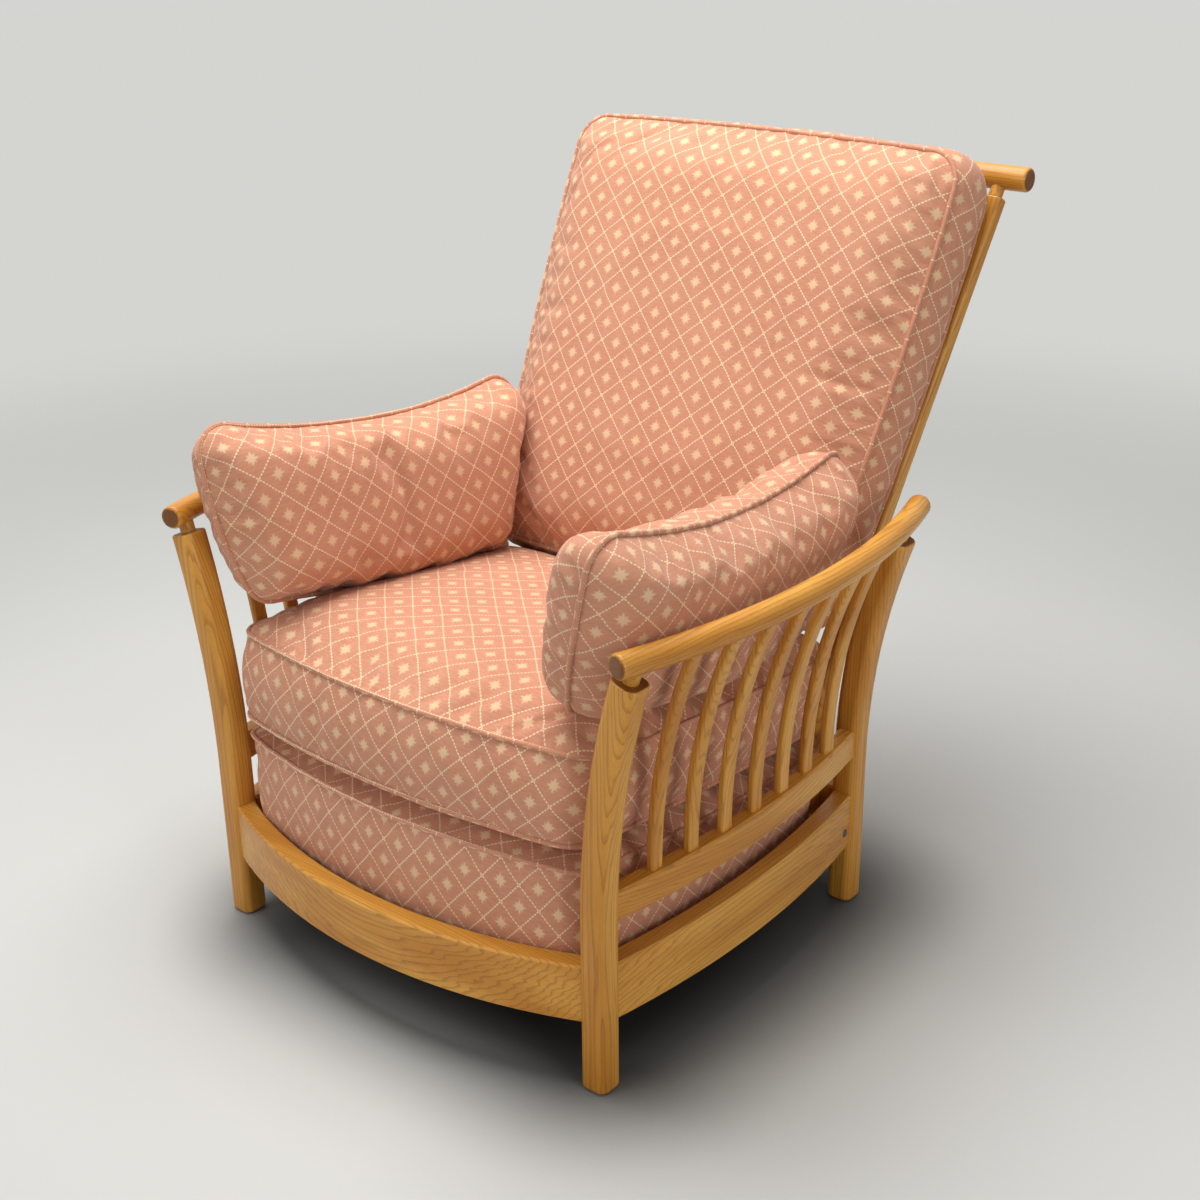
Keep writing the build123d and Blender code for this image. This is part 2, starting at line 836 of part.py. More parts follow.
def make_bolt(z, clearance):
    rear = leg_half_spacing_y + rear_rail_thickness / 2
    reach = rear_rail_thickness + upright_depth - bolt_tip_cover
    x = upright_foot_x
    shank = rod((x, rear, z), (x, rear - reach - clearance, z), bolt_diameter + 2 * clearance)
    if clearance:
        return shank
    return shank + rod((x, rear, z), (x, rear + bolt_head_height, z), bolt_head_diameter)


def make_plug(clearance):
    y = leg_inner_y - plug_from_leg
    face = side_rail_outer_x(y)
    outer = face + (overrun if clearance else plug_proud)
    deep = face - plug_depth - clearance
    return rod((deep, y, plug_height), (outer, y, plug_height), plug_diameter + 2 * clearance)


# Assembly

nodes = {}

front_tenon, rear_tenon, side_front_tenon, side_rear_tenon = seat_rail_tenons(0)
front_mortise, rear_mortise, side_front_mortise, side_rear_mortise = seat_rail_tenons(mortise_clearance)
spindle_front_tenon, spindle_rear_tenon = spindle_rail_tenons(0)
spindle_front_mortise, spindle_rear_mortise = spindle_rail_tenons(mortise_clearance)

front_blank, front_leg_top = leg_blank(-leg_half_spacing_y)
rear_blank, rear_leg_top = leg_blank(leg_half_spacing_y)
front_leg = make_leg(-leg_half_spacing_y) - front_mortise - side_front_mortise - spindle_front_mortise
rear_leg = make_leg(leg_half_spacing_y) - rear_mortise - side_rear_mortise - spindle_rear_mortise
nodes["front_leg_right"] = front_leg
nodes["front_leg_left"] = on_left(front_leg)
nodes["rear_leg_right"] = rear_leg
nodes["rear_leg_left"] = on_left(rear_leg)

upright, upright_top, upright_direction = make_upright()
bolts = [make_bolt(z, 0) for z in bolt_heights]
bolt_holes = [make_bolt(z, bolt_clearance) for z in bolt_heights]
plug = make_plug(0)

front_rail = Rot(0, 0, 180) * bowed_rail(
    leg_inner_x, -front_rail_face_y, front_rail_bow, rail_thickness, leg_inner_x + leg_corner,
    rail_bottom, rail_height,
)
front_rail = scribed(front_rail, (front_blank, on_left(front_blank)), True)
front_rail = front_rail + front_tenon + on_left(front_tenon)

rear_rail = box_between(
    (-leg_half_spacing_x, leg_half_spacing_y - rear_rail_thickness / 2, rail_bottom),
    (leg_half_spacing_x, leg_half_spacing_y + rear_rail_thickness / 2, rail_top),
)
rear_rail = chamfer(rear_rail.edges().filter_by(Axis.X), rail_edge_chamfer)
rear_rail = rear_rail - rear_blank - on_left(rear_blank)
rear_rail = rear_rail + rear_tenon + on_left(rear_tenon)
for hole in bolt_holes:
    rear_rail = rear_rail - hole - on_left(hole)

side_rail = side_rail_blank(rail_thickness, rail_bottom, rail_height)
side_rail = scribed(side_rail, (front_blank, rear_blank), False) + side_front_tenon + side_rear_tenon
side_rail = side_rail - make_plug(plug_clearance)

spindle_rail = side_rail_blank(spindle_rail_thickness, spindle_rail_bottom, spindle_rail_height)
spindle_rail = scribed(spindle_rail, (front_blank, rear_blank), False)
spindle_rail = spindle_rail + spindle_front_tenon + spindle_rear_tenon
arm_rail = make_arm_rail()
arm_rail = arm_rail - leg_neck(-leg_half_spacing_y, front_leg_top, slat_clearance)
arm_rail = arm_rail - leg_neck(leg_half_spacing_y, rear_leg_top, slat_clearance)
for index in range(arm_slat_count):
    slat = make_arm_slat(index, 0)
    mortise = make_arm_slat(index, slat_clearance)
    spindle_rail = spindle_rail - mortise
    arm_rail = arm_rail - mortise
    nodes[f"arm_slat_right_{index + 1}"] = slat
    nodes[f"arm_slat_left_{index + 1}"] = on_left(slat)
nodes["spindle_rail_right"] = spindle_rail
nodes["spindle_rail_left"] = on_left(spindle_rail)
nodes["arm_rail_right"] = arm_rail
nodes["arm_rail_left"] = on_left(arm_rail)

# Corner blocks and screws
rear_rail_inner_y = leg_half_spacing_y - rear_rail_thickness / 2
front_rail_inner_y = front_rail_face_y + rail_thickness
side_rail_inner_x = side_rail_face_x - rail_thickness
front_block = make_block(-1, (front_blank, front_rail, side_rail))
upright_notch = box_between(
    (upright_foot_x - block_leg, upright_foot_y - upright_depth / 2, rail_bottom - overrun),
    (upright_foot_x + upright_width / 2, leg_half_spacing_y, rail_top + overrun),
)
rear_block = make_block(1, (rear_blank, rear_rail, side_rail, upright_notch))
screws = []
for y_side, rail_inner_y in ((-1, front_rail_inner_y), (1, rear_rail_inner_y)):
    screws += block_screws(y_side, rail_inner_y, side_rail_inner_x, 0)
    holes = block_screws(y_side, rail_inner_y, side_rail_inner_x, block_clearance)
    ways = screw_way(y_side, rail_inner_y, side_rail_inner_x)
    for cut in holes + ways:
        if y_side < 0:
            front_block = front_block - cut
        else:
            rear_block = rear_block - cut
    side_rail = side_rail - holes[1]
    if y_side < 0:
        front_rail = front_rail - holes[0] - on_left(holes[0])
    else:
        rear_rail = rear_rail - holes[0] - on_left(holes[0])
nodes["front_seat_rail"] = front_rail
nodes["rear_seat_rail"] = rear_rail
nodes["side_seat_rail_right"] = side_rail
nodes["side_seat_rail_left"] = on_left(side_rail)
nodes["corner_blocks"] = Compound(
    [front_block.solid(), rear_block.solid(), on_left(front_block).solid(), on_left(rear_block).solid()]
)
nodes["corner_block_screws"] = Compound([s.solid() for s in screws] + [on_left(s).solid() for s in screws])

# Back frame
back_rail_blank = make_back_rail()
back_tenons = back_rail_tenons(0)
back_mortises = back_rail_tenons(mortise_clearance)
back_rail = back_rail_blank - upright - on_left(upright)
for tenon in back_tenons:
    back_rail = back_rail + tenon
top_rail = make_top_rail()
neck_hole = upright_neck(upright_top, upright_direction, slat_clearance)
top_rail = top_rail - neck_hole - on_left(neck_hole)
for index in range(back_slat_count):
    mortise = make_back_slat(index, slat_clearance)
    back_rail = back_rail - mortise
    top_rail = top_rail - mortise
    nodes[f"back_slat_{index + 1}"] = make_back_slat(index, 0)
upright = upright + upright_neck(upright_top, upright_direction, 0)
for cut in back_mortises + bolt_holes:
    upright = upright - cut
nodes["back_upright_right"] = upright
nodes["back_upright_left"] = on_left(upright)
nodes["back_lower_rail"] = back_rail
nodes["top_rail"] = top_rail
nodes["back_bolts"] = Compound([b.solid() for b in bolts] + [on_left(b).solid() for b in bolts])
nodes["side_rail_plugs"] = Compound([plug.solid(), on_left(plug).solid()])

# Deck
front_bar, rear_bar, side_bar = deck_bars()
nodes["deck_front_bar"] = front_bar
nodes["deck_rear_bar"] = rear_bar
nodes["deck_side_bar_right"] = side_bar
nodes["deck_side_bar_left"] = on_left(side_bar)
nodes["zigzag_springs"] = Compound([make_spring(index).solid() for index in range(spring_count)])
nodes["spring_clips"] = Compound(
    [make_clip(index, y).solid() for index in range(spring_count) for y in (spring_front, spring_rear)]
)
nodes["spring_cloth"] = make_spring_cloth()
nodes["deck_pad"] = make_pad()
nodes["deck_cover"] = make_deck_cover()
nodes["deck_lining"] = make_lining()

# Cushions, each one let down until it rests on the piece below
seat_cushion = make_seat_cushion()
back_cushion = make_back_cushion()
arm_cushion = make_arm_cushion()
back_cushion = settled(back_cushion, seat_cushion, down_the_back)
arm_cushion = settled(arm_cushion, seat_cushion, Vector(0, 0, -1))
nodes["seat_cushion"] = seat_cushion
nodes["back_cushion"] = back_cushion
nodes["arm_cushion_right"] = arm_cushion
nodes["arm_cushion_left"] = on_left(arm_cushion)

# The origin goes to the middle of the bottom of the whole chair
boxes = [shape.bounding_box() for shape in nodes.values()]
low = Vector(*[min(getattr(box.min, axis) for box in boxes) for axis in "XYZ"])
high = Vector(*[max(getattr(box.max, axis) for box in boxes) for axis in "XYZ"])
origin = Vector((low.X + high.X) / 2, (low.Y + high.Y) / 2, low.Z)
print("size", high - low, "origin moved by", -origin)

os.makedirs("parts", exist_ok=True)
for node, shape in nodes.items():
    export_step(Pos(-origin) * shape, f"parts/{node}.step")
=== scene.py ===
import json
import math

import bmesh
import bpy
import numpy as np
from mathutils import Matrix, Vector, noise
from mathutils.bvhtree import BVHTree
from mathutils.geometry import delaunay_2d_cdt
from mathutils.kdtree import KDTree


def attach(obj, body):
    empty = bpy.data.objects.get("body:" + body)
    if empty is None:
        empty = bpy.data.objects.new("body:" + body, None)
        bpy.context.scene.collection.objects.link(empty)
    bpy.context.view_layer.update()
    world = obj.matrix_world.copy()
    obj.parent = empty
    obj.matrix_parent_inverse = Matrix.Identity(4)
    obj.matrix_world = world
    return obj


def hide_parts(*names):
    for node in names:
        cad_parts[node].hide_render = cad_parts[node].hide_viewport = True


# The dressed easy chair: a golden ash frame, and loose cushions in a salmon cloth with a stitched diamond
# trellis. Lengths are in metres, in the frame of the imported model.

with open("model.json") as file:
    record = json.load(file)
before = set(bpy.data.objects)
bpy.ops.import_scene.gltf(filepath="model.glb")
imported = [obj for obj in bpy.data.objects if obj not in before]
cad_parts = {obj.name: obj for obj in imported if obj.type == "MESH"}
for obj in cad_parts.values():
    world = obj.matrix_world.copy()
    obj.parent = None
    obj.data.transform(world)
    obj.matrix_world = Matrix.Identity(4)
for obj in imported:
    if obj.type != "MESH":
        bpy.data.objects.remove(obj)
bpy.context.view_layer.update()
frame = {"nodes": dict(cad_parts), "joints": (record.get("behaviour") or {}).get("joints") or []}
nodes = frame["nodes"]
scene = bpy.context.scene

up = Vector((0, 0, 1))

# Camera, as fitted to the photograph. Its focal length and middle are pixels of the 1200 pixel image.
image_size = 1200
camera_place = Vector((1.3723, -1.6732, 1.3173))
camera_azimuth = math.radians(39.4)
camera_pitch = math.radians(23.9)
camera_roll = math.radians(-0.6)
focal_pixels = 1799.2
middle_pixel = (600.9, 628.1)
sensor_width = 36.0

# Mesh of the covers, and how it is swollen
panel_spacing = 0.008
boxing_spacing = 0.0085
ray_height = 0.3
cloth_frames = 20
cloth_pressure = 4.0
seam_crease = 0.8
least_gap = 0.0003
back_off_share = 0.75
rim_share = 0.62
sewing_settings = {
    "quality": 6, "mass": 0.25,
    "tension_stiffness": 18, "compression_stiffness": 18, "shear_stiffness": 6, "bending_stiffness": 0.6,
    "tension_damping": 8, "compression_damping": 8, "air_damping": 2,
}

# Arm cushions: their fullness, and the push that their front ends get
arm_smoothing = 30
arm_fullness = 1.12
arm_push_length = 0.24
arm_push_forward = 0.018
arm_push_in = 0.016
arm_foot_lift = 0.016
arm_lift_height = 0.13

# The flat cut of a crowned panel: rounds of spreading, how strong, and how often its spread is smoothed
relaxing_rounds = 400
relaxing_strength = 1.6
smoothing_every = 20

# Puckers along a seam: how far they reach, how long they are, and where they start from the seam
pucker_reach = 0.022
pucker_wave = 0.017
pucker_start = 0.004
pucker_depth_wave = 0.09
gather_wave = 0.11
gather_least_share = 0.4
soft_wave = 0.075
soft_height = 0.0011
soft_start = 0.03
pucker_seed = 1.7
pucker_seed_step = 11.0

# Piping
piping_radius = 0.0031
piping_step = 0.005
piping_sides = 12
piping_out_share = 0.35
piping_sway_wave = 0.045
piping_sway = 0.0007
piping_rise_wave = 0.05
piping_rise = 0.0006
piping_lump_wave = 0.012
piping_lump_share = 0.07
piping_seed_step = 5.0

# Pattern of the cloth
trellis_wide = 0.048
trellis_high = 0.047
trellis_sway_scale = 1.3
trellis_sway = 0.05
stitches_per_side = 8
stitch_half_width = 0.0008
stitch_gap_share = 0.08
stitch_edge = 0.0003
star_reach = 0.0088
star_core_share = 0.54
star_ray_share = 0.30
star_main_share = 0.16
fray_scales = (260, 1300, 1)
fray_reach = 0.0030
star_thread_pitch = 0.0011
weave_pitch = 0.0008
slub_scales = (90, 420, 1)

# Wood: the last number of each set of scales runs along the grain
board_shifts = (3.1, 7.7, 13.3)
board_turn = 40.0
ring_pitch = 0.0042
ring_wander = 0.030
ring_unevenness = 1.6
wander_scales = (9, 9, 1.6)
uneven_scales = (110, 110, 2.75)
fibre_scales = (1500, 1500, 26)
pore_scales = (2600, 2600, 75)
broad_scales = (24, 24, 2.2)

# Studio: the floor is painted dark under the chair, round a plain rectangle
floor_half = 12.0
shade_middle = (0.03, -0.10)
shade_half = 0.22
shade_fade = 0.27
shade_share = 0.96
floor_end = (1.2, 3.2)
world_light = 0.26
world_seen = 0.66
# the name of each lamp, its place, what it points at, its width and its power in watts
lamps = (
    ("overhead", (-0.5, 0.1, 2.9), (0, 0, 0.3), 2.4, 98),
    ("front", (-1.0, -3.4, 2.0), (0, 0, 0.5), 2.0, 32),
    ("right", (3.4, -1.0, 1.5), (0, 0, 0.5), 1.8, 32),
)


# Node trees

class Tree:
    """The node tree of one material, with short calls for the nodes that the materials share."""

    def __init__(self, name):
        self.material = bpy.data.materials.new(name)
        self.material.use_nodes = True
        self.nodes = self.material.node_tree.nodes
        self.links = self.material.node_tree.links
        self.shader = self.nodes["Principled BSDF"]

    def feed(self, socket, value):
        if isinstance(value, bpy.types.NodeSocket):
            self.links.new(value, socket)
        else:
            socket.default_value = value

    def add(self, kind, inputs=(), **settings):
        node = self.nodes.new("ShaderNode" + kind)
        for key, value in settings.items():
            setattr(node, key, value)
        for key, value in dict(inputs).items():
            self.feed(node.inputs[key], value)
        return node

    def math(self, operation, a, b=0.0, c=0.0, clamp=False):
        node = self.add("Math", operation=operation, use_clamp=clamp)
        for socket, value in zip(node.inputs, (a, b, c)):
            self.feed(socket, value)
        return node.outputs[0]

    def vector(self, operation, a, b=(0, 0, 0)):
        node = self.add("VectorMath", operation=operation)
        self.feed(node.inputs[0], a)
        self.feed(node.inputs[1], b)
        return node.outputs["Value"] if operation in ("LENGTH", "DOT_PRODUCT") else node.outputs[0]

    def split(self, vector):
        return self.add("SeparateXYZ", {0: vector}).outputs

    def join(self, x, y, z):
        return self.add("CombineXYZ", {0: x, 1: y, 2: z}).outputs[0]

    def step(self, value, low, high, out_low=0.0, out_high=1.0):
        node = self.add("MapRange", interpolation_type="SMOOTHSTEP")
        for socket, number in zip(node.inputs, (value, low, high, out_low, out_high)):
            self.feed(socket, number)
        return node.outputs[0]

    def mix(self, share, a, b, blend="MIX"):
        node = self.add("Mix", data_type="RGBA", blend_type=blend)
        self.feed(node.inputs[0], share)
        self.feed(node.inputs[6], a)
        self.feed(node.inputs[7], b)
        return node.outputs[2]

    def noise(self, vector, scale, detail=2.0, roughness=0.5):
        inputs = {"Vector": vector, "Scale": scale, "Detail": detail, "Roughness": roughness}
        return self.add("TexNoise", inputs).outputs["Fac"]

    def bump(self, height, distance, strength=1.0, normal=None):
        node = self.add("Bump", {"Height": height, "Distance": distance, "Strength": strength})
        if normal is not None:
            self.feed(node.inputs["Normal"], normal)
        return node.outputs[0]

    def finish(self, **inputs):
        for key, value in inputs.items():
            self.feed(self.shader.inputs[key.replace("_", " ")], value)
        return self.material


def rgb(red, green, blue):
    """A colour from its screen values, 0 to 255."""
    def linear(value):
        share = value / 255
        return share / 12.92 if share < 0.04045 else ((share + 0.055) / 1.055) ** 2.4
    return (linear(red), linear(green), linear(blue), 1.0)


# Materials

def wood(name, along, pale=rgb(226, 166, 70), deep=rgb(196, 128, 38), line=rgb(146, 86, 22)):
    """Straight-grained ash under a satin coat, its grain along the direction given."""
    tree = Tree(name)
    spot = tree.add("TexCoord").outputs["Object"]
    own = tree.add("ObjectInfo").outputs["Random"]
    turn = Vector(along).rotation_difference(up).to_euler()
    rotate = tree.add("VectorRotate", {"Vector": spot, "Rotation": turn}, rotation_type="EULER_XYZ")
    shifts = [tree.math("MULTIPLY", own, shift) for shift in board_shifts]
    moved = tree.vector("ADD", rotate.outputs[0], tree.join(*shifts))
    slow = tree.noise(tree.vector("MULTIPLY", moved, wander_scales), 1.0, 3)
    x, y, z = tree.split(moved)
    angle = tree.math("MULTIPLY", own, board_turn)
    across = tree.math("ADD", tree.math("MULTIPLY", x, tree.math("COSINE", angle)),
                       tree.math("MULTIPLY", y, tree.math("SINE", angle)))
    wander = tree.math("MULTIPLY", tree.math("SUBTRACT", slow, 0.5), ring_wander)
    rings = tree.math("DIVIDE", tree.math("ADD", across, wander), ring_pitch)
    unevenly = tree.noise(tree.vector("MULTIPLY", moved, uneven_scales), 1.0, 1)
    uneven = tree.math("MULTIPLY", unevenly, ring_unevenness)
    ring = tree.math("FRACT", tree.math("ADD", rings, uneven))
    early = tree.math("SUBTRACT", 1.0, tree.step(ring, 0.0, 0.42), clamp=True)
    start = tree.step(ring, 0.94, 1.0)
    early = tree.math("MAXIMUM", early, start)
    fibre = tree.noise(tree.vector("MULTIPLY", moved, fibre_scales), 1.0, 3, 0.6)
    pores = tree.step(tree.noise(tree.vector("MULTIPLY", moved, pore_scales), 1.0, 2, 0.6), 0.54, 0.70)
    pores = tree.math("MULTIPLY", pores, tree.math("ADD", tree.math("MULTIPLY", early, 0.75), 0.12))
    broad = tree.noise(tree.vector("MULTIPLY", moved, broad_scales), 1.0, 3)
    base = tree.mix(tree.step(broad, 0.30, 0.70), pale, deep)
    base = tree.mix(tree.math("MULTIPLY", early, 0.42), base, line)
    base = tree.mix(tree.math("MULTIPLY", pores, 0.75), base, rgb(108, 62, 16))
    base = tree.mix(tree.step(fibre, 0.25, 0.75), tree.mix(0.22, base, rgb(128, 78, 20)), base)
    normal = tree.add("NewGeometry").outputs["Normal"]
    facing = tree.math("ABSOLUTE", tree.vector("DOT_PRODUCT", normal, Vector(along).normalized()))
    base = tree.mix(tree.step(facing, 0.60, 0.92, 0.0, 0.85), base, rgb(92, 48, 16))
    relief = tree.math("ADD", tree.math("MULTIPLY", pores, -0.7), tree.math("MULTIPLY", fibre, 0.25))
    rough = tree.math("ADD", tree.math("MULTIPLY", broad, 0.16), 0.30)
    return tree.finish(Base_Color=base, Roughness=rough, Normal=tree.bump(relief, 0.0003, 0.5),
                       Coat_Weight=0.22, Coat_Roughness=0.25, Specular_IOR_Level=0.3)


def trellis_cloth():
    """Salmon cloth woven with a cream stitched diamond trellis and a small star in each diamond.

    Its pattern follows the cut of each panel, which the UV map holds in metres.
    """
    tree = Tree("cover_fabric")
    cut = tree.add("UVMap", uv_map="cut").outputs[0]
    cells = tree.vector("DIVIDE", cut, (trellis_wide, trellis_high, 1.0))
    sway = tree.add("TexNoise", {"Vector": cells, "Scale": trellis_sway_scale, "Detail": 1.0})
    sway = tree.vector("SUBTRACT", sway.outputs["Color"], (0.5, 0.5, 0.5))
    sway = tree.vector("MULTIPLY", sway, (trellis_sway, trellis_sway, 0.0))
    cells = tree.vector("ADD", cells, sway)
    x, y, _ = tree.split(cells)
    rise = tree.math("ADD", x, y)
    fall = tree.math("SUBTRACT", x, y)
    grain = tree.noise(cut, 900.0, 2)

    def stitched(across, along):
        """The height of a line of stitches where across is a whole number."""
        cell = tree.math("SUBTRACT", tree.math("FRACT", tree.math("ADD", across, 0.5)), 0.5)
        side = trellis_wide / math.sqrt(2)
        off = tree.math("MULTIPLY", tree.math("ABSOLUTE", cell), side)
        place = tree.math("FRACT", tree.math("MULTIPLY", along, stitches_per_side))
        within = tree.math("MULTIPLY", tree.math("ABSOLUTE", tree.math("SUBTRACT", place, 0.5)), 2.0)
        body = tree.step(within, 0.50, 0.96, 1.0, 0.0)
        width = tree.math("MULTIPLY", body, stitch_half_width)
        width = tree.math("ADD", width, stitch_half_width * stitch_gap_share)
        inside = tree.step(tree.math("SUBTRACT", off, width), -stitch_edge, stitch_edge, 1.0, 0.0)
        round_height = tree.math("ADD", tree.math("MULTIPLY", body, 0.7), 0.3)
        return tree.math("MULTIPLY", inside, round_height)

    lines = tree.math("MAXIMUM", stitched(rise, fall), stitched(fall, rise))

    # The star at the middle of each diamond, drawn with eight rays and frayed along the weft.
    u = tree.math("SUBTRACT", tree.math("FRACT", rise), 0.5)
    v = tree.math("SUBTRACT", tree.math("FRACT", fall), 0.5)
    star_x = tree.math("MULTIPLY", tree.math("ADD", u, v), trellis_wide / 2)
    star_y = tree.math("MULTIPLY", tree.math("SUBTRACT", u, v), trellis_high / 2)
    fray = tree.noise(tree.vector("MULTIPLY", cut, fray_scales), 1.0, 2)
    star_x = tree.math("ADD", star_x, tree.math("MULTIPLY", tree.math("SUBTRACT", fray, 0.5), fray_reach))
    reach = tree.vector("LENGTH", tree.join(star_x, star_y, 0.0))
    turn = tree.math("ARCTAN2", star_y, star_x)
    rays = tree.math("ABSOLUTE", tree.math("COSINE", tree.math("MULTIPLY", turn, 4.0)))
    rays = tree.math("POWER", rays, 2.2)
    main = tree.math("ABSOLUTE", tree.math("COSINE", tree.math("MULTIPLY", turn, 2.0)))
    main = tree.math("POWER", main, 3.0)
    edge = tree.math("ADD", tree.math("MULTIPLY", rays, star_reach * star_ray_share),
                     tree.math("MULTIPLY", main, star_reach * star_main_share))
    edge = tree.math("ADD", edge, star_reach * star_core_share)
    share = tree.math("DIVIDE", reach, edge)
    star = tree.step(share, 0.55, 1.15, 1.0, 0.0)
    threads = tree.math("SINE", tree.math("MULTIPLY", tree.split(cut)[1], 2 * math.pi / star_thread_pitch))
    star = tree.math("MULTIPLY", star, tree.math("ADD", tree.math("MULTIPLY", threads, 0.12), 0.80))

    # The ground: a fine plain weave with uneven threads.
    warp = tree.math("SINE", tree.math("MULTIPLY", tree.split(cut)[0], 2 * math.pi / weave_pitch))
    weft = tree.math("SINE", tree.math("MULTIPLY", tree.split(cut)[1], 2 * math.pi / weave_pitch))
    weave = tree.math("MULTIPLY", warp, weft)
    slub = tree.noise(tree.vector("MULTIPLY", cut, slub_scales), 1.0, 3)
    faded = tree.noise(tree.add("TexCoord").outputs["Object"], 7.0, 3)
    ground = tree.mix(tree.step(slub, 0.25, 0.75), rgb(198, 130, 100), rgb(212, 150, 120))
    ground = tree.mix(tree.step(faded, 0.35, 0.70, 0.0, 0.30), ground, rgb(218, 160, 130))
    ground = tree.mix(tree.math("MULTIPLY", tree.math("ADD", weave, 1.0), 0.10), ground, rgb(146, 84, 62))
    ground = tree.mix(tree.math("MULTIPLY", grain, 0.18), ground, rgb(230, 178, 146))
    colour = tree.mix(tree.math("MULTIPLY", star, 0.95), ground, rgb(236, 204, 162))
    colour = tree.mix(tree.math("MULTIPLY", lines, 0.92), colour, rgb(247, 220, 178))
    relief = tree.math("ADD", tree.math("MULTIPLY", lines, 1.0), tree.math("MULTIPLY", star, 0.35))
    relief = tree.math("ADD", relief, tree.math("MULTIPLY", weave, 0.16))
    relief = tree.math("ADD", relief, tree.math("MULTIPLY", slub, 0.25))
    return tree.finish(Base_Color=colour, Roughness=0.88, Normal=tree.bump(relief, 0.0006, 0.8),
                       Sheen_Weight=0.18, Sheen_Roughness=0.45, Specular_IOR_Level=0.25)


def plain_wood():
    """Bare softwood of the pieces inside the seat."""
    tree = Tree("inner_wood")
    spot = tree.add("TexCoord").outputs["Object"]
    streak = tree.noise(tree.vector("MULTIPLY", spot, (12, 160, 160)), 1.0, 4)
    knots = tree.noise(spot, 18.0, 2)
    base = tree.mix(tree.step(streak, 0.3, 0.7), rgb(205, 176, 134), rgb(178, 143, 99))
    base = tree.mix(tree.step(knots, 0.62, 0.72, 0.0, 0.4), base, rgb(130, 92, 58))
    return tree.finish(Base_Color=base, Roughness=0.75, Normal=tree.bump(streak, 0.0004, 0.5))


def dark_plug():
    """The dark end-grain plug in each side rail."""
    tree = Tree("plug_wood")
    spot = tree.add("TexCoord").outputs["Object"]
    fleck = tree.noise(spot, 900.0, 2)
    base = tree.mix(tree.step(fleck, 0.4, 0.6), rgb(96, 58, 30), rgb(62, 34, 18))
    normal = tree.bump(fleck, 0.0002, 0.4)
    return tree.finish(Base_Color=base, Roughness=0.45, Normal=normal, Coat_Weight=0.3)


def steel():
    """Drawn steel wire and plated fasteners."""
    tree = Tree("steel")
    spot = tree.add("TexCoord").outputs["Object"]
    smear = tree.noise(spot, 60.0, 4)
    rough = tree.math("ADD", tree.math("MULTIPLY", smear, 0.25), 0.25)
    base = tree.mix(smear, rgb(150, 150, 152), rgb(190, 190, 190))
    return tree.finish(Base_Color=base, Roughness=rough, Metallic=1.0, Normal=tree.bump(smear, 0.0001, 0.3))


def clip_plastic():
    """Pale nylon of the spring clips."""
    tree = Tree("clip_plastic")
    cloud = tree.noise(tree.add("TexCoord").outputs["Object"], 220.0, 3)
    base = tree.mix(cloud, rgb(214, 210, 198), rgb(232, 229, 220))
    return tree.finish(Base_Color=base, Roughness=0.5, Normal=tree.bump(cloud, 0.0001, 0.3))


def inner_cloth():
    """Black bonded cloth over the springs and under the seat."""
    tree = Tree("inner_cloth")
    spot = tree.add("TexCoord").outputs["Object"]
    felt = tree.noise(spot, 700.0, 3, 0.7)
    dots = tree.add("TexVoronoi", {"Vector": spot, "Scale": 380.0}).outputs["Distance"]
    base = tree.mix(felt, rgb(30, 30, 31), rgb(58, 58, 60))
    relief = tree.math("ADD", tree.math("MULTIPLY", felt, 0.5), dots)
    return tree.finish(Base_Color=base, Roughness=0.92, Normal=tree.bump(relief, 0.0003, 0.6))


def foam():
    """Cream foam of the deck pad."""
    tree = Tree("foam")
    cells = tree.add("TexVoronoi", {"Vector": tree.add("TexCoord").outputs["Object"], "Scale": 900.0})
    distance = cells.outputs["Distance"]
    base = tree.mix(distance, rgb(232, 220, 184), rgb(206, 190, 150))
    return tree.finish(Base_Color=base, Roughness=0.95, Normal=tree.bump(distance, 0.0003, 0.7))


def dress(names, material):
    for name in names:
        for slot in nodes[name].material_slots:
            slot.material = material


def both(*names):
    return [f"{name}_{side}" for name in names for side in ("left", "right")]


# Cushions: each is built from its solid's own surface, cut into panels along its seams.

def solid_mesh(name):
    """The mesh of a node with its doubled points joined."""
    mesh = bmesh.new()
    mesh.from_mesh(nodes[name].data)
    bmesh.ops.remove_doubles(mesh, verts=mesh.verts, dist=1e-6)
    mesh.normal_update()
    return mesh


def chained(edges):
    """The points of a closed ring of edges, in order, or None where they don't close."""
    near = {}
    for edge in edges:
        for vertex in edge.verts:
            near.setdefault(vertex, []).append(edge.other_vert(vertex))
    if any(len(others) != 2 for others in near.values()):
        return None
    first = min(near, key=lambda vertex: tuple(vertex.co))
    ring = [first]
    last, current = first, near[first][0]
    while current != first:
        ring.append(current)
        step = near[current]
        last, current = current, step[0] if step[0] != last else step[1]
    return [vertex.co.copy() for vertex in ring]


def plane_of(points):
    """The middle and the normal of the plane through the points."""
    cloud = np.array([tuple(point) for point in points])
    middle = cloud.mean(0)
    normal = np.linalg.svd(cloud - middle)[2][2]
    return Vector(middle), Vector(normal)


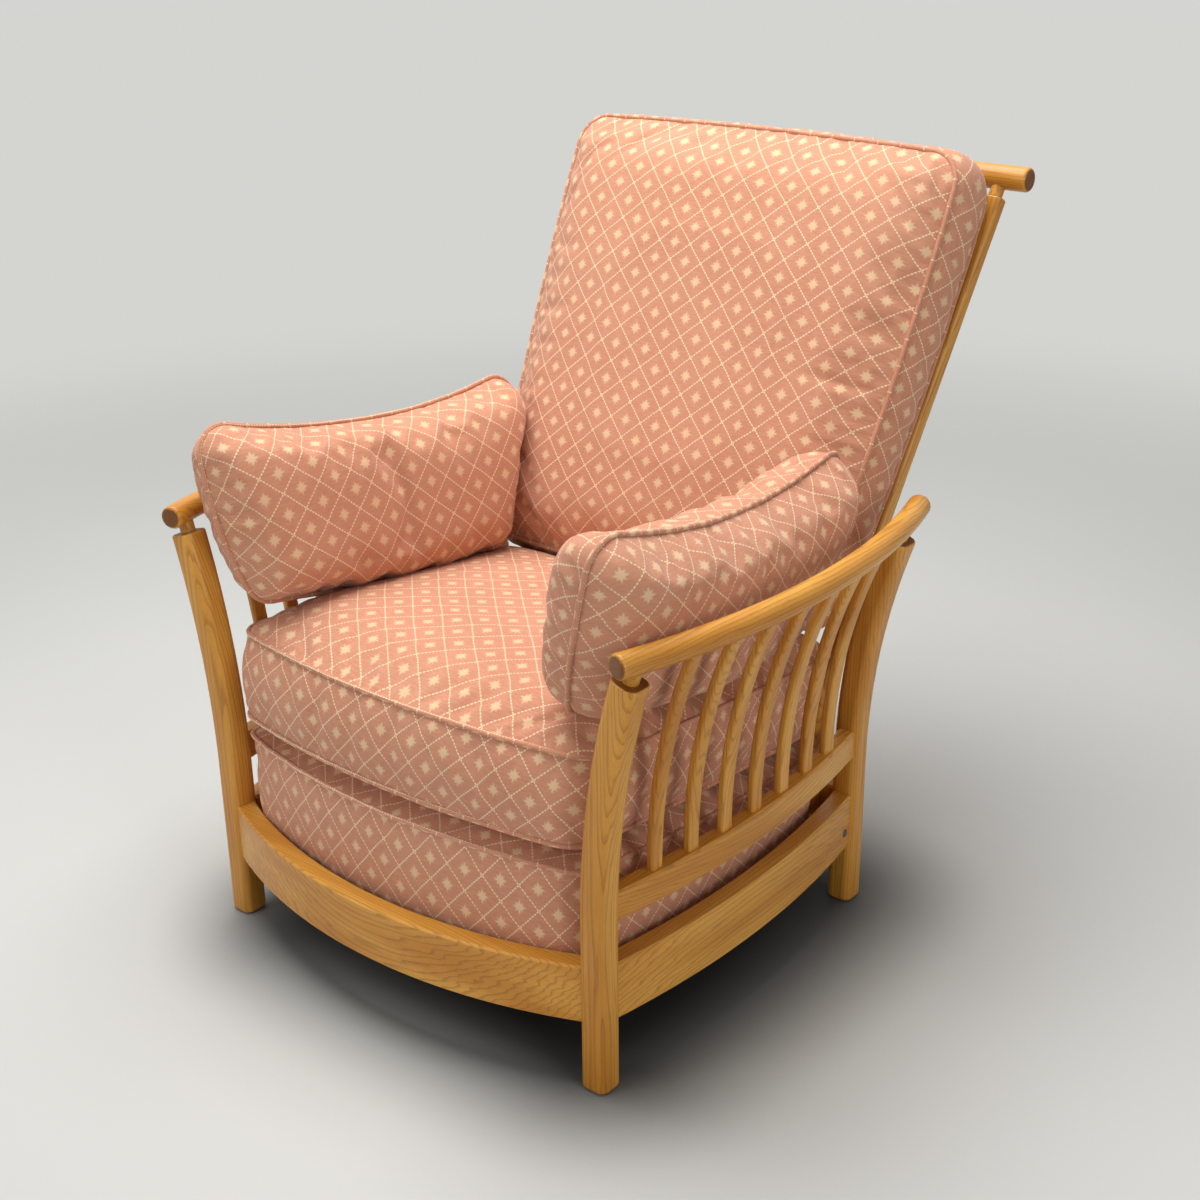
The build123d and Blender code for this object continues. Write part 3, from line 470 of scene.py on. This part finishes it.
def seam_rings(mesh, sharp=math.radians(15), least_length=0.9, off_plane=0.00005):
    """The closed seams of a solid: its sharp edges, or where one runs out smooth, the edges in its plane."""
    left = {edge for edge in mesh.edges if len(edge.link_faces) == 2 and edge.calc_face_angle(0) > sharp}
    groups = []
    while left:
        start = left.pop()
        group = [start]
        stack = [start]
        while stack:
            for vertex in stack.pop().verts:
                for edge in vertex.link_edges:
                    if edge in left:
                        left.remove(edge)
                        group.append(edge)
                        stack.append(edge)
        groups.append(group)
    rings = []
    for group in groups:
        if sum(edge.calc_length() for edge in group) < least_length:
            continue
        ring = chained(group)
        if ring is None:
            points = {vertex.co.copy().freeze() for edge in group for vertex in edge.verts}
            middle, normal = plane_of(points)
            level = [edge for edge in mesh.edges
                     if all(abs((vertex.co - middle).dot(normal)) < off_plane for vertex in edge.verts)]
            ring = chained(level)
        rings.append(ring)
    return rings


class Panel:
    """A flat frame laid over one seam: its sideways and lengthways directions and its outward normal."""

    def __init__(self, ring, sideways, outwards):
        self.middle, normal = plane_of(ring)
        self.normal = normal if normal.dot(outwards) > 0 else -normal
        self.x = (sideways - self.normal * sideways.dot(self.normal)).normalized()
        self.y = self.normal.cross(self.x)

    def flat(self, point):
        offset = point - self.middle
        return Vector((offset.dot(self.x), offset.dot(self.y)))

    def place(self, point, height=0.0):
        return self.middle + self.x * point[0] + self.y * point[1] + self.normal * height


def even_ring(ring, panel, counts=None):
    """The ring as evenly spaced points, side by side from corner to corner, and the number on each side."""
    flat = [panel.flat(point) for point in ring]
    area = sum(a.x * b.y - b.x * a.y for a, b in zip(flat, flat[1:] + flat[:1]))
    if area < 0:
        ring = list(reversed(ring))
        flat = list(reversed(flat))
    wide = max(point.x for point in flat)
    high = max(point.y for point in flat)
    corners = [max(range(len(flat)), key=lambda i: sx * flat[i].x / wide + sy * flat[i].y / high)
               for sx, sy in ((-1, -1), (1, -1), (1, 1), (-1, 1))]
    points = []
    used = []
    for index in range(4):
        start, end = corners[index], corners[(index + 1) % 4]
        side = [ring[(start + i) % len(ring)] for i in range((end - start) % len(ring) + 1)]
        lengths = np.cumsum([0.0] + [(b - a).length for a, b in zip(side, side[1:])])
        count = counts[index] if counts else max(4, round(lengths[-1] / panel_spacing))
        used.append(count)
        for step in np.linspace(0, lengths[-1], count, endpoint=False):
            at = int(np.searchsorted(lengths, step, side="right")) - 1
            share = (step - lengths[at]) / (lengths[at + 1] - lengths[at])
            points.append(side[at].lerp(side[at + 1], share))
    return points, used


def filled(border, spacing):
    """Points inside a flat border on a staggered grid, and the triangles over the border and them."""
    low = Vector((min(p.x for p in border), min(p.y for p in border)))
    high = Vector((max(p.x for p in border), max(p.y for p in border)))
    edges = [(i, (i + 1) % len(border)) for i in range(len(border))]
    tree = KDTree(len(border))
    for index, point in enumerate(border):
        tree.insert((point.x, point.y, 0), index)
    tree.balance()
    xs = np.array([p.x for p in border])
    ys = np.array([p.y for p in border])
    next_xs = np.roll(xs, -1)
    next_ys = np.roll(ys, -1)
    inner = []
    row_step = spacing * math.sqrt(3) / 2
    for row in range(int((high.y - low.y) / row_step) + 1):
        y = low.y + row * row_step
        crosses = (ys > y) != (next_ys > y)
        at = xs[crosses] + (y - ys[crosses]) * (next_xs[crosses] - xs[crosses]) / (next_ys - ys)[crosses]
        for column in range(int((high.x - low.x) / spacing) + 1):
            x = low.x + (column + 0.5 * (row % 2)) * spacing
            inside = np.count_nonzero(at > x) % 2 == 1
            if inside and tree.find((x, y, 0))[2] > spacing * rim_share:
                inner.append(Vector((x, y)))
    points, _, triangles, _, _, _ = delaunay_2d_cdt(list(border) + inner, edges, [], 1, 1e-7)
    return inner, [list(triangle) for triangle in triangles]


def smoothed(heights, triangles, fixed, rounds):
    """The heights, each free one drawn again and again towards the mean of its neighbours."""
    ends = np.array([(corner, after) for triangle in triangles
                     for corner, after in zip(triangle, triangle[1:] + triangle[:1])])
    counts = np.bincount(ends.ravel(), minlength=len(heights))
    for _ in range(rounds):
        total = np.bincount(ends[:, 0], heights[ends[:, 1]], len(heights))
        total += np.bincount(ends[:, 1], heights[ends[:, 0]], len(heights))
        drawn = (heights + total / np.maximum(counts, 1)) / 2
        heights[fixed:] = drawn[fixed:]
    return heights


def relaxed(flat, places, triangles):
    """The flat cut of a crowned panel, spread until its edges are as long as those of the crowned cloth."""
    start = np.array([tuple(point) for point in flat])
    cut = start.copy()
    places = np.array([tuple(point) for point in places])
    pairs = sorted({tuple(sorted(pair)) for triangle in triangles
                    for pair in zip(triangle, triangle[1:] + triangle[:1])})
    one, other = np.array(pairs).T
    wanted = np.linalg.norm(places[one] - places[other], axis=1)
    counts = np.bincount(one, minlength=len(cut)) + np.bincount(other, minlength=len(cut))
    for done in range(1, relaxing_rounds + 1):
        along = cut[other] - cut[one]
        length = np.linalg.norm(along, axis=1)
        pull = along * ((length - wanted) / np.maximum(length, 1e-6) / 2)[:, None]
        for axis in range(2):
            moved = np.bincount(one, pull[:, axis], len(cut)) - np.bincount(other, pull[:, axis], len(cut))
            cut[:, axis] += moved / counts * relaxing_strength
            if done % smoothing_every == 0 and done < relaxing_rounds:
                spread = cut[:, axis] - start[:, axis]
                cut[:, axis] = start[:, axis] + smoothed(spread, triangles, 0, 1)
    return [tuple(point) for point in cut]


class Shell:
    """The points, faces and cut of one cover as it is put together."""

    def __init__(self, name):
        self.name = name
        self.points = []
        self.bases = []
        self.faces = []
        self.cuts = []

    def add_points(self, points, bases=None):
        """Adds points, with the points of the solid that they stand for."""
        first = len(self.points)
        self.points += [Vector(point) for point in points]
        self.bases += [Vector(point) for point in bases or points]
        return list(range(first, len(self.points)))

    def reach_out(self, push, around):
        """Pushes every point, no further from the solid than its neighbours leave room for."""
        for index, (point, base) in enumerate(zip(self.points, self.bases)):
            move = point + push(point) - base
            length = move.length
            if length < least_gap:
                continue
            hit = around.ray_cast(base, move, length + 2 * least_gap)
            if hit[0] is not None:
                move *= max(0.0, hit[3] - 2 * least_gap) / length
            while move.length > least_gap and around.find_nearest(base + move, least_gap)[0] is not None:
                move *= back_off_share
            self.points[index] = base + move

    def add_face(self, corners, cut):
        self.faces.append(corners)
        self.cuts += cut

    def add_panel(self, panel, ring_ids, tree, rounds=0):
        """Fills a seam with a crowned panel on the solid's surface, smoothed if rounds are given."""
        border = [panel.flat(self.points[i]) for i in ring_ids]
        inner, triangles = filled(border, panel_spacing)
        lifted = []
        for point in inner:
            start = panel.place(point, ray_height)
            hit = tree.ray_cast(start, -panel.normal, 2 * ray_height)[0]
            lifted.append(hit if hit is not None else tree.find_nearest(panel.place(point))[0])
        bases = lifted
        if rounds:
            rims = [self.points[i] for i in ring_ids]
            heights = np.array([(point - panel.middle).dot(panel.normal) for point in rims + lifted])
            heights = smoothed(heights, triangles, len(border), rounds)
            most = heights.max()
            shares = np.clip(heights[len(border):] / most, 0, 1)
            full = most * arm_fullness * np.sqrt(1 - (1 - shares) ** 2)
            lifted = [panel.place(point, height) for point, height in zip(inner, full)]
        ids = ring_ids + self.add_points(lifted, bases)
        flat = border + inner
        cut = relaxed(flat, [self.points[i] for i in ids], triangles) if rounds else flat
        for triangle in triangles:
            a, b, c = (flat[i] for i in triangle)
            if (b - a).cross(c - a) < 0:
                triangle = list(reversed(triangle))
            self.add_face([ids[i] for i in triangle], [tuple(cut[i]) for i in triangle])

    def add_boxing(self, low_ids, high_ids, tree, height):
        """The strip between two seams, which bulges as the solid does."""
        rows = max(3, round(height / boxing_spacing))
        count = len(low_ids)
        grid = [low_ids]
        for row in range(1, rows):
            share = row / rows
            strip = [self.points[a].lerp(self.points[b], share) for a, b in zip(low_ids, high_ids)]
            grid.append(self.add_points([tree.find_nearest(point)[0] for point in strip]))
        grid.append(high_ids)
        rim = [self.points[i] for i in high_ids]
        steps = [(after - point).length for point, after in zip(rim, rim[1:] + rim[:1])]
        along = [0.0] + list(np.cumsum(steps))
        for row in range(rows):
            for i in range(count):
                j = (i + 1) % count
                low, high = row * height / rows, (row + 1) * height / rows
                corners = [grid[row][i], grid[row][j], grid[row + 1][j], grid[row + 1][i]]
                start, end = along[i], along[i + 1]
                self.add_face(corners, [(start, low), (end, low), (end, high), (start, high)])

    def build(self, seams):
        mesh = bpy.data.meshes.new(self.name)
        mesh.from_pydata([tuple(point) for point in self.points], [], self.faces)
        layer = mesh.uv_layers.new(name="cut")
        layer.data.foreach_set("uv", np.array(self.cuts, np.float32).ravel())
        shell = bpy.data.objects.new(self.name, mesh)
        scene.collection.objects.link(shell)
        pins = shell.vertex_groups.new(name="seams")
        pins.add([i for ring in seams for i in ring], 1.0, "REPLACE")
        crease = mesh.attributes.new("crease_edge", "FLOAT", "EDGE")
        pairs = {frozenset((ring[i - 1], ring[i])) for ring in seams for i in range(len(ring))}
        sewn = [frozenset(edge.vertices) in pairs for edge in mesh.edges]
        crease.data.foreach_set("value", [seam_crease if held else 0.0 for held in sewn])
        return shell


def tree_of(names):
    """One search tree over the meshes of several nodes."""
    points = []
    faces = []
    for name in names:
        first = len(points)
        mesh = nodes[name].data
        points += [vertex.co.copy() for vertex in mesh.vertices]
        faces += [[first + i for i in polygon.vertices] for polygon in mesh.polygons]
    return BVHTree.FromPolygons(points, faces)


def places_and_normals(mesh):
    """The points of a mesh and their normals, as two arrays."""
    places = np.empty(len(mesh.vertices) * 3, np.float32)
    normals = np.empty(len(mesh.vertices) * 3, np.float32)
    mesh.vertices.foreach_get("co", places)
    mesh.vertex_normals.foreach_get("vector", normals)
    return places.reshape(-1, 3), normals.reshape(-1, 3)


class Cushion:
    """One soft piece: its cover as a mesh, its seams as rings of points, and the panels inside them."""

    def __init__(self, node, name, sideways, outwards, boxed=True, foot=False):
        self.node = node
        solid = solid_mesh(node)
        tree = BVHTree.FromBMesh(solid)
        rings = seam_rings(solid)
        rings.sort(key=lambda ring: -plane_of(ring)[0].dot(outwards))
        shell = Shell(name)
        if boxed:
            rings.sort(key=lambda ring: -sum((b - a).length for a, b in zip(ring, ring[1:])))
            high_ring, low_ring = sorted(rings[:2], key=lambda ring: -plane_of(ring)[0].dot(outwards))
            high_panel = Panel(high_ring, sideways, outwards)
            low_panel = Panel(low_ring, sideways, outwards)
            high, counts = even_ring(high_ring, high_panel)
            low, _ = even_ring(low_ring, low_panel, counts)
            high_ids = shell.add_points(high)
            low_ids = shell.add_points(low)
            height = sum((a - b).length for a, b in zip(high, low)) / len(high)
            shell.add_panel(high_panel, high_ids, tree)
            shell.add_boxing(low_ids, high_ids, tree, height)
            under = Panel(low_ring, sideways, -outwards)
            shell.add_panel(under, low_ids, tree)
            self.seams = [high_ids] if foot else [high_ids, low_ids]
            pinned = [high_ids, low_ids]
            self.panels = [high_panel, low_panel]
        else:
            panel = Panel(rings[0], sideways, outwards)
            ring, _ = even_ring(rings[0], panel)
            ids = shell.add_points(ring)
            shell.add_panel(panel, ids, tree, arm_smoothing)
            shell.add_panel(Panel(rings[0], sideways, -outwards), ids, tree, arm_smoothing)
            front = min(point.y for point in shell.points)
            lowest = min(point.z for point in shell.points)

            def push(point):
                """Forwards, inwards and off the seat, most at the front end's foot."""
                share = max(0.0, 1 - (point.y - front) / arm_push_length)
                share = share * share * (3 - 2 * share)
                low = max(0.0, 1 - (point.z - lowest) / arm_lift_height)
                return Vector((outwards.x * arm_push_in, -arm_push_forward, low * arm_foot_lift)) * share

            shell.reach_out(push, tree_of([other for other in nodes if other != node]))
            self.seams = [ids]
            pinned = [ids]
            self.panels = [panel]
        self.cover = shell.build(pinned)
        self.start = np.array([tuple(point) for point in shell.points])
        solid.free()

    def stuff(self, growth):
        """Adds the cloth that swells the cover between its seams."""
        modifier = self.cover.modifiers.new("stuffing", "CLOTH")
        settings = modifier.settings
        for key, value in sewing_settings.items():
            setattr(settings, key, value)
        settings.use_pressure = True
        settings.uniform_pressure_force = cloth_pressure
        settings.shrink_min = -growth
        settings.vertex_group_mass = "seams"
        settings.effector_weights.gravity = 0
        modifier.collision_settings.use_collision = False
        modifier.point_cache.frame_start = 1
        modifier.point_cache.frame_end = cloth_frames

    def settle(self, cap, around):
        """Keeps the swollen cover within its cap and clear of its neighbours, as the mesh's own points."""
        graph = bpy.context.evaluated_depsgraph_get()
        swollen = self.cover.evaluated_get(graph).data
        ends = np.empty(len(swollen.vertices) * 3)
        swollen.vertices.foreach_get("co", ends)
        moves = ends.reshape(-1, 3) - self.start
        self.cover.modifiers.clear()
        normals = places_and_normals(self.cover.data)[1]
        out = (moves * normals).sum(1)
        slide = moves - normals * out[:, None]
        room = np.full(len(out), cap)
        for index, point in enumerate(self.start):
            found = around.find_nearest(Vector(point), 2 * cap + least_gap)
            if found[0] is not None:
                room[index] = max(0.0, min(cap, found[3] / 2 - least_gap / 2))
        out = np.where(out > 0, room * np.tanh(out / np.maximum(room, 1e-6)), -cap * np.tanh(-out / cap))
        reach = np.linalg.norm(slide, axis=1)[:, None]
        slide = slide * (cap / 2 * np.tanh(reach / (cap / 2)) / np.maximum(reach, 1e-9))
        ends = self.start + normals * out[:, None] + slide
        self.cover.data.vertices.foreach_set("co", ends.ravel())
        self.cover.data.update()

    def ring_points(self, ring):
        return [self.cover.data.vertices[i].co.copy() for i in ring]

    def crumple(self, amount, seed):
        """Divides the cover once and draws its cloth into small puckers along the seams."""
        seams = [self.ring_points(ring) for ring in self.seams]
        modifier = self.cover.modifiers.new("smooth", "SUBSURF")
        modifier.levels = 1
        graph = bpy.context.evaluated_depsgraph_get()
        fine = bpy.data.meshes.new_from_object(self.cover.evaluated_get(graph))
        self.cover.modifiers.clear()
        self.cover.data = fine
        marks = []
        for index, seam in enumerate(seams):
            walked = 0.0
            for i, point in enumerate(seam):
                marks.append((point, walked, index))
                walked += (seam[(i + 1) % len(seam)] - point).length
        tree = KDTree(len(marks))
        for index, (point, _, _) in enumerate(marks):
            tree.insert(point, index)
        tree.balance()
        places, normals = places_and_normals(fine)
        moved = []
        for place, normal in zip(map(Vector, places), map(Vector, normals)):
            _, mark, off = tree.find(place)
            _, walked, ring = marks[mark]
            fade = math.exp(-off / pucker_reach) * (1 - math.exp(-off / pucker_start))
            pull = noise.noise(Vector((walked / pucker_wave, seed + 7.3 * ring, off / pucker_depth_wave)))
            gather = max(0.0, noise.noise(Vector((walked / gather_wave, seed + 3.1, 2.0 * ring))) * 2)
            gather = gather_least_share + (1 - gather_least_share) * gather
            soft = noise.noise(place / soft_wave + Vector((seed, 0, 0))) * soft_height
            lift = amount * pull * gather * fade + soft * (1 - math.exp(-off / soft_start))
            moved.append(place + normal * lift)
        fine.vertices.foreach_set("co", np.array([tuple(place) for place in moved], np.float32).ravel())
        fine.update()
        for polygon in fine.polygons:
            polygon.use_smooth = True
        return seams


def piping(name, seam, panel, seed):
    """A cord in a bias strip of the cover's cloth, sewn along a seam."""
    lengths = np.cumsum([0.0] + [(seam[(i + 1) % len(seam)] - seam[i]).length for i in range(len(seam))])
    count = round(lengths[-1] / piping_step)
    centre = []
    for step in np.linspace(0, lengths[-1], count, endpoint=False):
        at = int(np.searchsorted(lengths, step, side="right")) - 1
        share = (step - lengths[at]) / (lengths[at + 1] - lengths[at])
        centre.append(seam[at % len(seam)].lerp(seam[(at + 1) % len(seam)], share))
    points = []
    for i, point in enumerate(centre):
        along = (centre[(i + 1) % count] - centre[i - 1]).normalized()
        out = along.cross(panel.normal).normalized()
        walk = i * piping_step
        sway = noise.noise(Vector((walk / piping_sway_wave, seed, 0.5))) * piping_sway
        middle = point + out * (piping_radius * piping_out_share + sway)
        middle += panel.normal * noise.noise(Vector((walk / piping_rise_wave, seed, 9.5))) * piping_rise
        lump = noise.noise(Vector((walk / piping_lump_wave, seed, 4.5)))
        thick = piping_radius * (1 + piping_lump_share * lump)
        for side in range(piping_sides):
            angle = 2 * math.pi * side / piping_sides
            points.append(middle + (out * math.cos(angle) + panel.normal * math.sin(angle)) * thick)
    faces = []
    cuts = []
    around = 2 * math.pi * piping_radius / piping_sides
    for i in range(count):
        for side in range(piping_sides):
            corners = []
            for ring, turn in ((i, side), (i + 1, side), (i + 1, side + 1), (i, side + 1)):
                corners.append((ring % count) * piping_sides + turn % piping_sides)
                walk, lap = ring * piping_step, turn * around
                cuts.append(((walk + lap) / math.sqrt(2), (walk - lap) / math.sqrt(2)))
            faces.append(corners)
    mesh = bpy.data.meshes.new(name)
    mesh.from_pydata([tuple(point) for point in points], [], faces)
    layer = mesh.uv_layers.new(name="cut")
    layer.data.foreach_set("uv", np.array(cuts, np.float32).ravel())
    for polygon in mesh.polygons:
        polygon.use_smooth = True
    cord = bpy.data.objects.new(name, mesh)
    scene.collection.objects.link(cord)
    return cord


def keep_ahead(piece, panel, rail):
    """Holds a piece in front of the rail that it slides past."""
    line = max((vertex.co - panel.middle).dot(panel.normal) for vertex in nodes[rail].data.vertices)
    line += 2 * least_gap
    places, _ = places_and_normals(piece.data)
    normal = np.array(panel.normal)
    heights = (places - np.array(panel.middle)) @ normal
    places = places + np.maximum(line - heights, 0)[:, None] * normal
    piece.data.vertices.foreach_set("co", places.astype(np.float32).ravel())
    piece.data.update()


# Light, floor and camera

def make_camera():
    forward = Vector((-math.sin(camera_azimuth) * math.cos(camera_pitch),
                      math.cos(camera_azimuth) * math.cos(camera_pitch), -math.sin(camera_pitch)))
    level = forward.cross(up).normalized()
    over = level.cross(forward)
    right = level * math.cos(camera_roll) + over * math.sin(camera_roll)
    top = over * math.cos(camera_roll) - level * math.sin(camera_roll)
    data = bpy.data.cameras.new("camera")
    data.sensor_width = sensor_width
    data.lens = sensor_width * focal_pixels / image_size
    data.shift_x = (image_size / 2 - middle_pixel[0]) / image_size
    data.shift_y = (middle_pixel[1] - image_size / 2) / image_size
    data.clip_end = 50
    camera = bpy.data.objects.new("camera", data)
    scene.collection.objects.link(camera)
    turned = Matrix((right, top, -forward)).transposed().to_4x4()
    camera.matrix_world = Matrix.Translation(camera_place) @ turned
    scene.camera = camera


def make_lamp(name, place, target, size, energy):
    data = bpy.data.lights.new(name, "AREA")
    data.shape = "DISK"
    data.size = size
    data.energy = energy
    lamp = bpy.data.objects.new(name, data)
    scene.collection.objects.link(lamp)
    lamp.location = place
    lamp.rotation_euler = (Vector(target) - Vector(place)).to_track_quat("-Z", "Y").to_euler()


def make_world(light, seen):
    """Even light from all round, and the pale colour that the camera and reflections see."""
    world = bpy.data.worlds.new("world")
    scene.world = world
    world.use_nodes = True
    tree = world.node_tree
    background = tree.nodes["Background"]
    path = tree.nodes.new("ShaderNodeLightPath")
    shown = tree.nodes.new("ShaderNodeMath")
    shown.operation = "MAXIMUM"
    tree.links.new(path.outputs["Is Camera Ray"], shown.inputs[0])
    tree.links.new(path.outputs["Is Glossy Ray"], shown.inputs[1])
    strength = tree.nodes.new("ShaderNodeMapRange")
    tree.links.new(shown.outputs[0], strength.inputs[0])
    strength.inputs[3].default_value = light
    strength.inputs[4].default_value = seen
    tree.links.new(strength.outputs[0], background.inputs["Strength"])
    background.inputs["Color"].default_value = (1, 1, 0.985, 1)


def make_floor():
    tree = Tree("studio_floor")
    spot = tree.add("TexCoord").outputs["Object"]
    base = tree.mix(tree.noise(spot, 1.1, 2), rgb(194, 194, 191), rgb(202, 202, 199))
    x, y, _ = tree.split(spot)
    past = []
    for place, middle in zip((x, y), shade_middle):
        off_middle = tree.math("ABSOLUTE", tree.math("SUBTRACT", place, middle))
        past.append(tree.math("MAXIMUM", tree.math("SUBTRACT", off_middle, shade_half), 0))
    off = tree.vector("LENGTH", tree.join(*past, 0.0))
    base = tree.mix(tree.step(off, 0.0, shade_fade, shade_share, 0.0), base, rgb(10, 10, 10))
    material = tree.finish(Base_Color=base, Roughness=0.62, Specular_IOR_Level=0.1)
    pale = tree.add("Emission", {"Color": rgb(212, 212, 209), "Strength": 1.0})
    far = tree.step(tree.vector("LENGTH", spot), *floor_end)
    shown = tree.math("MULTIPLY", far, tree.add("LightPath").outputs["Is Camera Ray"])
    fade = tree.add("MixShader", {0: shown, 1: tree.shader.outputs[0], 2: pale.outputs[0]})
    tree.links.new(fade.outputs[0], tree.nodes["Material Output"].inputs["Surface"])
    mesh = bpy.data.meshes.new("floor")
    corners = [(sx * floor_half, sy * floor_half, 0) for sx, sy in ((-1, -1), (1, -1), (1, 1), (-1, 1))]
    mesh.from_pydata(corners, [], [(0, 1, 2, 3)])
    mesh.materials.append(material)
    floor = bpy.data.objects.new("floor", mesh)
    scene.collection.objects.link(floor)


scene.view_settings.view_transform = "Standard"
make_camera()
make_world(world_light, world_seen)
make_floor()
for lamp in lamps:
    make_lamp(*lamp)

joints = {joint["name"]: joint for joint in frame["joints"]}
rake = joints["back_cushion_out"]["axis"]
arm_slats = [name for name in nodes if name.startswith("arm_slat_")]
back_slats = [name for name in nodes if name.startswith("back_slat_")]
cross_rails = ["front_seat_rail", "rear_seat_rail", "top_rail", "back_lower_rail"]
dress(both("front_leg", "rear_leg") + arm_slats, wood("frame_wood_upright", (0, 0, 1)))
dress(cross_rails, wood("frame_wood_across", (1, 0, 0)))
dress(both("side_seat_rail", "spindle_rail", "arm_rail"), wood("frame_wood_lengthways", (0, 1, 0)))
dress(both("back_upright") + back_slats, wood("frame_wood_raked", rake))
dress(["corner_blocks", "deck_front_bar", "deck_rear_bar"] + both("deck_side_bar"), plain_wood())
dress(["side_rail_plugs"], dark_plug())
dress(["corner_block_screws", "back_bolts", "zigzag_springs"], steel())
dress(["spring_clips"], clip_plastic())
dress(["spring_cloth", "deck_lining"], inner_cloth())
dress(["deck_pad"], foam())

cloth = trellis_cloth()
back_out = Vector((0, -rake[2], rake[1]))
across = Vector((1, 0, 0))
rearwards = Vector((0, 1, 0))
cushions = [
    Cushion("seat_cushion", "seat_cushion_cover", across, up),
    Cushion("back_cushion", "back_cushion_cover", across, back_out),
    Cushion("arm_cushion_left", "arm_cushion_left_cover", -rearwards, across, boxed=False),
    Cushion("arm_cushion_right", "arm_cushion_right_cover", rearwards, -across, boxed=False),
    Cushion("deck_cover", "deck_cover_fabric", across, up, foot=True),
]
growths = (0.04, 0.04, 0.05, 0.05, 0.02)
caps = (0.011, 0.009, 0.010, 0.010, 0.006)
bodies = ("seat_cushion_body", "back_cushion_body", "arm_cushion_left_body", "arm_cushion_right_body",
          "chair_frame")
crumples = (0.0022, 0.0018, 0.0030, 0.0030, 0.0010)

for cushion, growth in zip(cushions, growths):
    cushion.stuff(growth)
for number in range(1, cloth_frames + 1):
    scene.frame_set(number)
inside_deck = {"deck_cover", "deck_pad", "deck_lining", "spring_cloth", "spring_clips",
               "zigzag_springs", "deck_front_bar", "deck_rear_bar", *both("deck_side_bar")}
for cushion, cap in zip(cushions, caps):
    left_out = inside_deck if cushion.node == "deck_cover" else {cushion.node}
    cushion.settle(cap, tree_of([name for name in nodes if name not in left_out]))
scene.frame_set(1)

for index, cushion in enumerate(cushions):
    seams = cushion.crumple(crumples[index], pucker_seed_step * index + pucker_seed)
    cover = cushion.cover
    cover.data.materials.clear()
    cover.data.materials.append(cloth)
    slides_past = cushion.node == "back_cushion"
    if slides_past:
        keep_ahead(cover, cushion.panels[1], "top_rail")
    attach(cover, bodies[index])
    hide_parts(cushion.node)
    for number, seam in enumerate(seams):
        ends = ("top", "bottom") if len(seams) == 2 else ("edge",)
        title = f"{cushion.node}_piping_{ends[number]}"
        cord = piping(title, seam, cushion.panels[number], piping_seed_step * index + number)
        cord.data.materials.append(cloth)
        if slides_past:
            keep_ahead(cord, cushion.panels[1], "top_rail")
        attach(cord, bodies[index])
